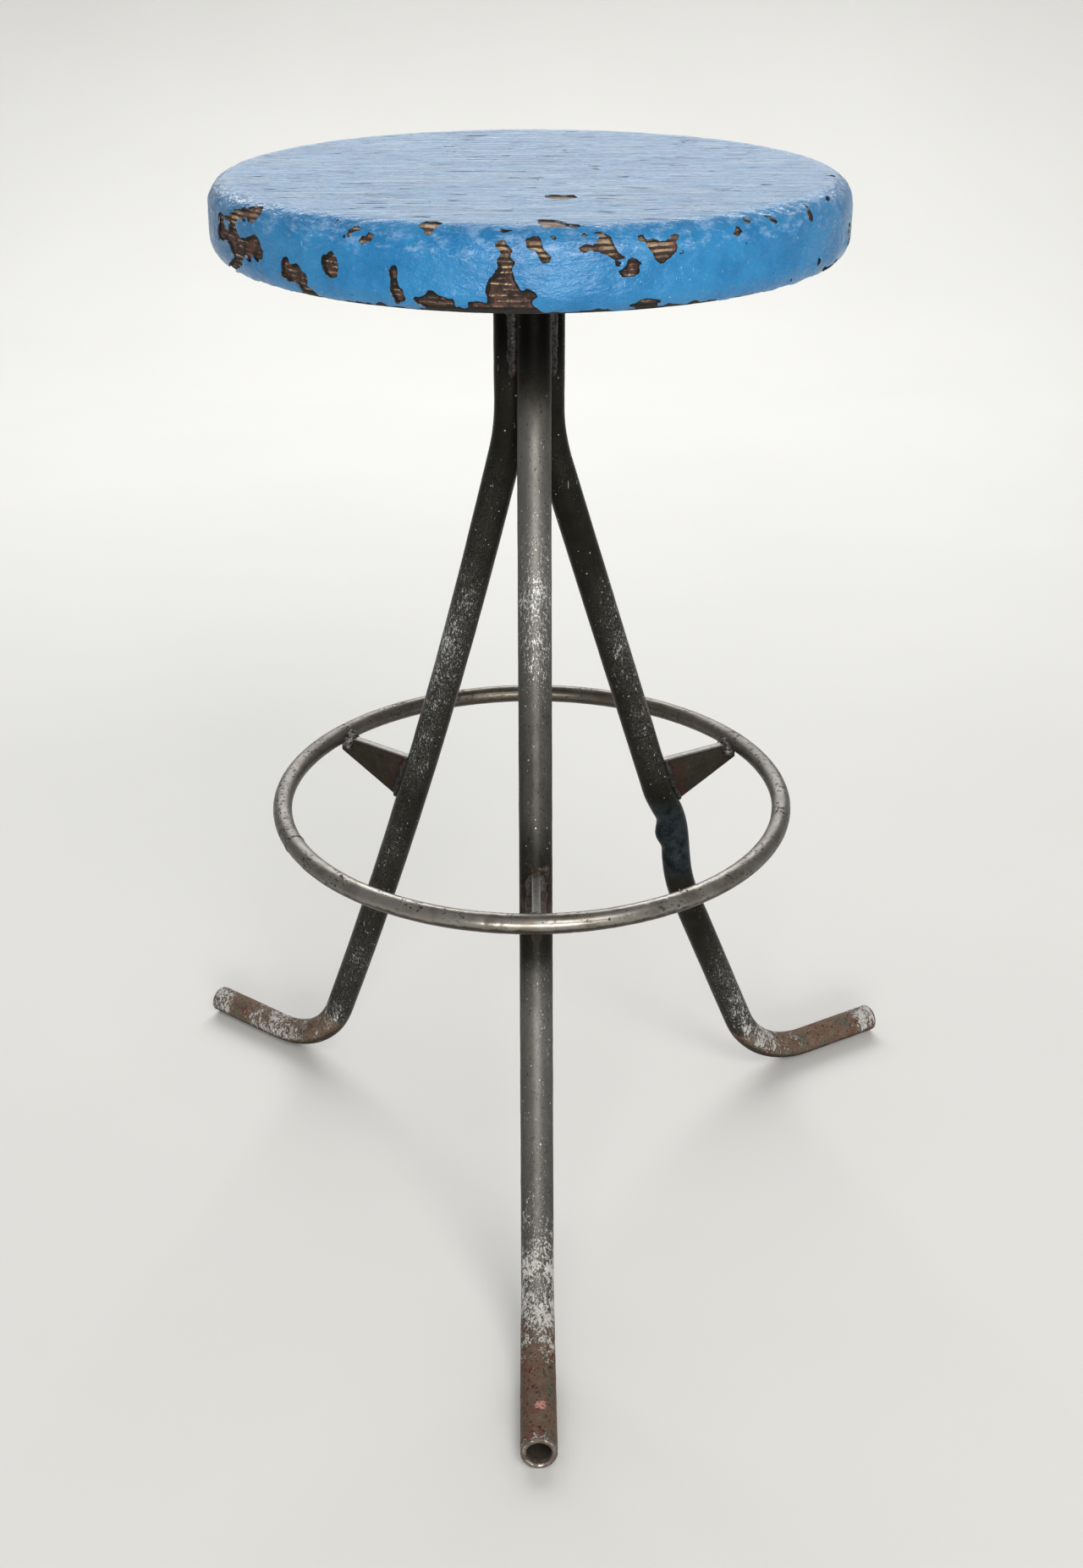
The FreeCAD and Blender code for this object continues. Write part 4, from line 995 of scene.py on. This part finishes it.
def leg_fields(side, rings, back, outer_up, turns):
    """Values per point for the tube's material.

    back is each ring's distance from the open end, and outer_up is how far its outer side faces up.
    """
    level = rings[:, :, 2]
    back = back[:, None] * np.ones((1, len(turns)))
    # lit is highest on the face turned to the light; the wear and the patina follow it, so their grey is
    # partly painted sheen
    lit = 0.5 + 0.5 * np.cos(turns - math.radians(LIT_FACE[side]))[None]
    tilt = np.cos(turns)[None] * outer_up[:, None]
    wear_and_sheen = np.interp(level, *LEG_WEAR_AND_SHEEN[side]) * (0.10 + 0.90 * lit ** 1.6)
    wear_and_sheen += 0.16 * rough(rings.reshape(-1, 3), (26, 26, 60), 71, 2).reshape(level.shape)
    patina_and_sheen = np.interp(level, *LEG_PATINA_AND_SHEEN[side]) * (0.35 + 0.65 * lit)
    flake = np.interp(back, *FLAKES[side]) * smooth(-0.75, 0.35, tilt + 0.35 * lit)
    rust = smooth(*RUST_FADE[side][::-1], back)
    # under: darker on the side turned down, near the floor, as painted shade
    under = smooth(-0.05, -0.75, tilt) * smooth(70, 20, level)
    dim = smooth(*SEAT_SHADE, level)
    scorched, fleck, inside = np.zeros((3, *level.shape))
    if side == "rear_right":
        scorched = smooth(*SCORCHED_FROM, level) * smooth(*SCORCHED_TO, level)
    if side == "front":
        aside = (turns[None] + math.pi) % (2 * math.pi) - math.pi - 0.12
        fleck = hump(back, FLECK_BACK, 4.2) * hump(aside, 0, 0.40)
        stained = hump(level, STAIN_HEIGHT, 19) * hump(aside, 0, 1.7)
        rust = np.maximum(rust, 0.86 * stained)
        under = np.maximum(under, 0.84 * stained)
    for n, (depth, change) in enumerate(LIP, len(rings) - len(LIP)):
        inside[n] = smooth(-2.6, -3.3, change) * smooth(0, 3, depth)
    # each field, with its values in the middle of the top and at the bottom of the bore
    return {name: np.r_[values.ravel(), caps] for name, values, caps in (
        ("wear_and_sheen", wear_and_sheen, (wear_and_sheen[0, 0], 0)), ("rust", rust, (0, 1)), ("scorched", scorched, (0, 0)),
        ("dim", dim, (1, 0)), ("patina_and_sheen", patina_and_sheen, (0, 0)), ("fleck", fleck, (0, 0)),
        ("flake", flake, (0, 0)), ("under", under, (0, 0)), ("inside", inside, (0, 1)))}


def leg(side, materials, around=56):
    """One bent tube with its worn surface, flattened foot and open, filed end."""
    points, ways, spots = centre_line(*LEG_LINE[side])
    base, outward, sideways = leg_frame(side)
    turns = full_turn(around)
    normals = np.stack([-ways[:, 1], ways[:, 0]], 1)
    reach, height = points[:, 0], points[:, 1]
    end = spots[-1]

    foot = smooth(45, 8, height)
    wide = 1 + FOOT_WIDER[side] * foot
    thick = 1 - FOOT_THINNER[side] * foot
    cosines, sines = np.cos(turns)[None], np.sin(turns)[None]
    size = np.full((len(points), around), TUBE - 0.06)
    if side == "rear_right":
        size += kink(height[:, None], cosines, sines)
    centre = base + reach[:, None] * outward + height[:, None] * UP
    across = normals[:, :1] * outward + normals[:, 1:] * UP

    def ring_points(i, radius):
        return (centre[i][:, None] + (radius * cosines * thick[i][:, None])[:, :, None] * across[i][:, None]
                + (radius * sines * wide[i][:, None])[:, :, None] * sideways)

    everything = np.arange(len(points))
    body = ring_points(everything, size)
    flat = body.reshape(-1, 3)
    relief = 0.07 * rough(flat, 14, 51, 2) + 0.035 * rough(flat, 2.6, 52, 2)
    scale_skin = smooth(60, 12, np.repeat(height, around)) * 0.10 * np.maximum(0, rough(flat, 4.5, 53))
    body = ring_points(everything, size + (relief - 0.03 - scale_skin).reshape(size.shape))

    mouth = []
    for back, change in LIP:
        i = np.array([np.searchsorted(spots, end - back - 1e-6).clip(0, len(spots) - 1)])
        ring = ring_points(i, np.full((1, around), TUBE + change))[0]
        ring += (end - back - spots[i[0]]) * (ways[i[0], 0] * outward + ways[i[0], 1] * UP)
        burr = 0.22 if back < 2 else 0.1
        ring += burr * (lumps(ring, 4, 61) * smooth(1.5, 0, back))[:, None] * outward * -1
        mouth.append(ring)
    last = np.searchsorted(spots, end - 1.2)
    rings = np.concatenate([body[:last], np.array(mouth)])
    distance = np.r_[spots[:last], [end - back for back, _ in LIP]]
    if side == "front":
        lean = math.tan(math.radians(FRONT_TRIM))
        near_end = smooth(end - 24, end - 1, distance)[:, None]
        rings -= (near_end * lean * np.maximum(rings[:, :, 2], 0))[:, :, None] * outward
    sink = TUBE * (1 - thick[-1]) * smooth(45, 8, rings[:, :, 2])
    rings[:, :, 2] = np.maximum(rings[:, :, 2] - sink, 0.0)

    mesh_points, faces = skin(rings)
    fields = leg_fields(side, rings, end - distance, np.interp(distance, spots, normals[:, 1]), turns)
    uv = strip_uv(len(rings), around, end, 2 * math.pi * TUBE, faces)
    first_lip = (last - 1) * around
    marks = [len(f) == 4 and min(f) >= first_lip or max(f) == len(mesh_points) - 1 for f in faces]
    faces, uv = outward_faces(mesh_points, faces, uv)
    return make_piece("tube_" + side, mesh_points, faces, materials["tube"], ("leg_" + side,),
                      fields, uv, 50, materials["tube_end"], marks)


# ---------------------------------------------------------------- footrest ring
def footrest(materials, along=1320, around=36):
    """The ring bar, not quite round or smooth any more."""
    turns, spin = full_turn(along), full_turn(around)
    outward = np.stack([np.cos(turns), np.sin(turns), np.zeros(along)], 1)
    spots = outward[:, None] * (RING_RADIUS + RING_BAR * np.cos(spin))[None, :, None]
    spots[:, :, 2] += RING_Z + RING_BAR * np.sin(spin)[None]
    flat = spots.reshape(-1, 3)
    size = RING_BAR - 0.07 + 0.05 * rough(flat, 16, 81, 2) + 0.02 * rough(flat, 3, 82, 2)
    pits = smooth(0.42, 0.62, rough(flat * (1, 1, 1.4), 4.2, 83, 2))
    size = (size - 0.10 * pits).reshape(along, around)
    rings = outward[:, None] * (RING_RADIUS + size * np.cos(spin)[None])[:, :, None]
    rings[:, :, 2] += RING_Z + size * np.sin(spin)[None]
    points, faces = skin(rings, closed=True)
    low = smooth(0.30, -0.60, np.sin(spin))[None] * np.ones((along, 1))
    uv = strip_uv(along, around, 2 * math.pi * RING_RADIUS, 2 * math.pi * RING_BAR, faces, closed=True)
    faces, uv = outward_faces(points, faces, uv)
    return make_piece("ring_bar", points, faces, materials["ring"], ("footrest_ring",),
                      {"low": low.ravel()}, uv, 60)


# ---------------------------------------------------------------- brackets
def reach_at(side, height):
    """Reach of a leg's centre line and of its outer face at one height."""
    points, ways, _ = centre_line(*LEG_LINE[side])
    order = np.argsort(points[:, 1])
    middle = np.interp(height, points[order, 1], points[order, 0])
    slope = np.interp(height, points[order, 1], np.abs(ways[order, 1]))
    return middle, middle + TUBE / slope


def rounded_outline(half, tall, corner):
    """Points round a rectangle from -half to half and from 0 to tall with rounded corners."""
    arcs = []
    for quarter, (y, d) in enumerate(((1, corner), (1, tall - corner), (-1, tall - corner), (-1, corner))):
        spin = math.pi / 2 * (quarter - 1 + np.linspace(0, 1, 5))
        arcs.append(np.stack([y * (half - corner) + corner * np.cos(spin), d + corner * np.sin(spin)], 1))
    outline = []
    for arc, following, steps in zip(arcs, arcs[1:] + arcs[:1], (16, 3, 16, 3)):
        outline += [*arc, *(arc[-1] + (following[0] - arc[-1]) * k / steps for k in range(1, steps))]
    return outline


def bracket(side, materials):
    """A tapered plate with rubbed, rounded edges, from the leg out to the ring."""
    base, outward, sideways = leg_frame(side)
    start_top = reach_at(side, BRACKET_TOP)[1] - 1.5
    start_low = reach_at(side, BRACKET_ROOT_LOW)[1] - 1.5
    end = BRACKET_REACH - BUNDLE
    sections = []
    for share in np.linspace(0, 1, 52):
        top = np.array([start_top + (end - start_top) * share, BRACKET_TOP - 0.05])
        low = np.array([start_low + (end - start_low) * share,
                        BRACKET_ROOT_LOW + (BRACKET_TIP_LOW - BRACKET_ROOT_LOW) * share])
        tall = np.linalg.norm(low - top)
        ring = []
        for y, d in rounded_outline(BRACKET_THICK / 2, tall, 1.0):
            spot = top + (low - top) * d / tall
            ring.append(base + spot[0] * outward + y * sideways + spot[1] * UP)
        sections.append(ring)
    rings = np.array(sections)
    flat = rings.reshape(-1, 3)
    offset = (flat - base) @ sideways
    height = rings[:, :, 2]
    low_line = np.linspace(BRACKET_ROOT_LOW, BRACKET_TIP_LOW, len(rings))[:, None]
    edge = np.maximum(smooth(1.6, 0.2, BRACKET_TOP - height), 0.45 * smooth(1.4, 0.1, height - low_line))
    edge *= 0.84 if side == "front" else 1.0
    root = np.linspace(1, -0.6, len(rings))[:, None] * np.ones_like(edge)
    push = 0.10 * rough(flat, 6, 91, 2) + 0.05 * rough(flat, 1.8, 92, 2)
    flat = flat + (np.sign(offset) * (push - 0.08))[:, None] * sideways
    points, faces = skin(flat.reshape(rings.shape))
    faces, _ = outward_faces(points, faces)
    fields = {"edge": np.r_[edge.ravel(), 0, 0], "root": np.r_[root.ravel(), 1, 0]}
    return make_piece("plate_" + side, points, faces, materials["bracket"],
                      ("bracket_" + side,), fields, edges=40)


# ---------------------------------------------------------------- welds
def bead(line, width, up, seed, squash=1.0, ripple=0.10):
    """A lumpy bead of weld metal along a line; squash flattens it along up."""
    line = np.asarray(line, float)
    count, around = len(line), 18
    length = np.r_[0, np.cumsum(np.linalg.norm(np.diff(line, axis=0), axis=1))]
    share = length / length[-1] * 2 - 1
    body = np.sqrt(np.clip(1 - np.abs(share) ** 6, 0.0, 1)) * 0.97 + 0.03
    waves = 1 + ripple * np.abs(np.sin(math.pi * length / 2.6)) + 0.25 * lumps(line, 5, seed)
    ways = np.gradient(line, axis=0)
    ways /= np.linalg.norm(ways, axis=1)[:, None]
    first = np.cross(ways, up)
    first /= np.linalg.norm(first, axis=1)[:, None]
    second = np.cross(first, ways)
    turns = full_turn(around)
    size = (width * body * waves)[:, None, None]
    rings = line[:, None] + size * (np.cos(turns)[None, :, None] * first[:, None]
                                    + squash * np.sin(turns)[None, :, None] * second[:, None])
    flat = rings.reshape(-1, 3)
    centre = np.repeat(line, around, 0)
    flat = centre + (flat - centre) * (1 + 0.16 * rough(flat, 2.2, seed + 5, 2))[:, None]
    return skin(flat.reshape(rings.shape))


def join(parts):
    """Several skins as one mesh."""
    points, faces, total = [], [], 0
    for some_points, some_faces in parts:
        some_faces, _ = outward_faces(some_points, some_faces)
        points.append(some_points)
        faces += [tuple(i + total for i in face) for face in some_faces]
        total += len(some_points)
    return np.vstack(points), faces


def weld_piece(name, parts, materials, kind="weld"):
    """One piece in place of the CAD's weld of that name."""
    points, faces = join(parts)
    return make_piece(name + "_bead", points, faces, materials[kind], (name,), edges=180)


def bracket_welds(side, materials, seed):
    """Two beads where a bracket meets its leg, and one over its tip at the ring."""
    base, outward, sideways = leg_frame(side)
    root = []
    for hand in (-1, 1):
        line = []
        for height in np.linspace(BRACKET_TOP - 0.5, BRACKET_ROOT_LOW + 0.5, 40):
            reach = reach_at(side, height)[1] + 0.2
            line.append(base + reach * outward + hand * 3.0 * sideways + height * UP)
        root.append(bead(line, 2.9, outward, seed + hand, 0.9))
    start = base @ outward
    reach = math.sqrt(RING_RADIUS ** 2 - BUNDLE ** 2 + start ** 2) - start - RING_BAR - 0.8
    line = []
    for t in np.linspace(-1, 1, 46):
        swing = math.sin(math.pi / 2 * max(-1, min(1, t * 1.5)))
        drop = max(0, abs(t) - 0.35) / 0.65
        line.append(base + (reach + 0.7 * math.sin(7 * t + seed)) * outward + swing * 3.3 * sideways
                    + (BRACKET_TOP - 0.6 - 1.2 * swing ** 2 - 6.5 * drop) * UP)
    tip = [bead(line, 3.3, outward, seed + 3, 1.0, 0.12)]
    weld_piece("bracket_leg_weld_" + side, root, materials, "brown_weld" if side == "front" else "weld")
    weld_piece("bracket_ring_weld_" + side, tip, materials, "grey_weld")


def bundle_welds(materials):
    """Beads down the three grooves of the tube bundle."""
    top = TUBE_TOP - 4
    for node, turn, length, seed in (("seam_weld_front_left", -60, 60, 65),
                                     ("seam_weld_front_right", 60, 61, 78),
                                     ("seam_weld_rear", 180, 60, 91)):
        away = heading(BUNDLE_TURN["front"] + turn)
        line = [away * (BUNDLE / 2 + 6.6) + z * UP for z in np.linspace(top, top - length, 70)]
        weld_piece(node, [bead(line, 3.3, away, seed, 0.95, 0.12)], materials)


def ring_joint(materials):
    """The dressed butt weld of the ring bar."""
    outward = heading(RING_JOINT)
    along = np.array([-outward[1], outward[0], 0])
    turns = full_turn(40)[:, None]
    rings = []
    for share in np.linspace(-1, 1, 17):
        middle = outward * RING_RADIUS + RING_Z * UP + along * 1.5 * share
        size = RING_BAR - 0.25 + 0.55 * math.sqrt(1 - share ** 2)
        ring = middle + np.cos(turns) * outward * size + np.sin(turns) * UP * size
        rings.append(middle + (ring - middle) * (1 + 0.012 * rough(ring, 1.6, 95, 2))[:, None])
    weld_piece("footrest_ring_weld", [skin(np.array(rings))], materials, "grey_weld")


# ---------------------------------------------------------------- build
materials = {
    "paint": blue_paint(), "paint_edge": paint_edge(), "plywood": bare_plywood(),
    "tube": black_tube(), "tube_end": tube_lip(), "ring": ring_steel(), "bracket": bracket_steel(),
    "weld": weld_steel("dark_weld", 0.05), "grey_weld": weld_steel("grey_weld", 0.18),
    "brown_weld": weld_steel("brown_weld", 0.09, (0.050, 0.034, 0.026)),
    "plate": plate_black(), "zinc": zinc(),
}
seat_core(materials)
seat_paint(materials)
for number, side in enumerate(LEG_LINE):
    leg(side, materials)
    bracket(side, materials)
    bracket_welds(side, materials, 101 + 10 * number)
footrest(materials)
ring_joint(materials)
bundle_welds(materials)
for node, kind in (("seat_plate", "plate"), ("seat_plate_weld", "weld"), ("seat_screws", "zinc"),
                   ("seat_washers", "zinc")):
    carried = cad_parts[node]
    carried.data.materials.clear()
    carried.data.materials.append(materials[kind])


# ---------------------------------------------------------------- floor, light and camera
def make_floor():
    """A plain pale floor that runs up into a far wall in one sweep."""
    half, front, back, rise, curve = 7.0, -6.0, 3.4, 5.0, 1.4
    side_line = [(front, 0.0), (back - curve, 0.0)]
    for k in range(1, 25):
        turn = math.pi / 2 * k / 24
        side_line.append((back - curve + curve * math.sin(turn), curve - curve * math.cos(turn)))
    side_line.append((back, rise))
    points = [(x, y, z) for y, z in side_line for x in (-half, half)]
    faces = [(2 * i, 2 * i + 1, 2 * i + 3, 2 * i + 2) for i in range(len(side_line) - 1)]
    mesh = bpy.data.meshes.new("floor")
    mesh.from_pydata(points, [], faces)
    mesh.polygons.foreach_set("use_smooth", np.ones(len(faces), bool))
    s = Shader("pale_floor")
    tone = s.mix(s.noise(420, 3), (0.600, 0.590, 0.562), (0.650, 0.640, 0.612))
    mesh.materials.append(s.finish(Base_Color=tone, Roughness=0.8))
    floor = bpy.data.objects.new("floor", mesh)
    bpy.context.scene.collection.objects.link(floor)


def area_light(name, place, target, width, height, watts, colour):
    """A soft rectangular lamp at a place, turned to its target; all in metres."""
    light = bpy.data.lights.new(name, "AREA")
    light.shape = "RECTANGLE"
    light.size, light.size_y = width, height
    light.energy = watts
    light.color = colour
    lamp = bpy.data.objects.new(name, light)
    lamp.location = place
    lamp.rotation_euler = (Vector(target) - Vector(place)).to_track_quat("-Z", "Y").to_euler()
    bpy.context.scene.collection.objects.link(lamp)


make_floor()
area_light("key", (0.8, -2.1, 2.4), (0, 0, 0.45), 1.2, 1.2, 33, (1.0, 0.98, 0.95))
area_light("horizon", (0.25, -3.6, 1.0), (0, 0, 0.45), 2.4, 0.8, 105, (1.0, 0.99, 0.97))
area_light("glare", (-0.1, 2.6, 2.1), (0, 0, 0.6), 3.4, 1.6, 92, (0.97, 0.985, 1.0))
world = bpy.data.worlds.new("studio")
world.use_nodes = True
world.node_tree.nodes["Background"].inputs["Color"].default_value = (0.93, 0.95, 0.97, 1)
world.node_tree.nodes["Background"].inputs["Strength"].default_value = 0.42
bpy.context.scene.world = world
bpy.context.scene.view_settings.view_transform = "Standard"

camera = bpy.data.cameras.new("camera")
camera.lens = 42.03
camera.sensor_width = 36
eye = bpy.data.objects.new("camera", camera)
eye.location = (-0.0048, -1.0383, 0.8218)
eye.rotation_euler = (math.radians(62.95), 0, math.radians(-0.6))
bpy.context.scene.collection.objects.link(eye)
bpy.context.scene.camera = eye
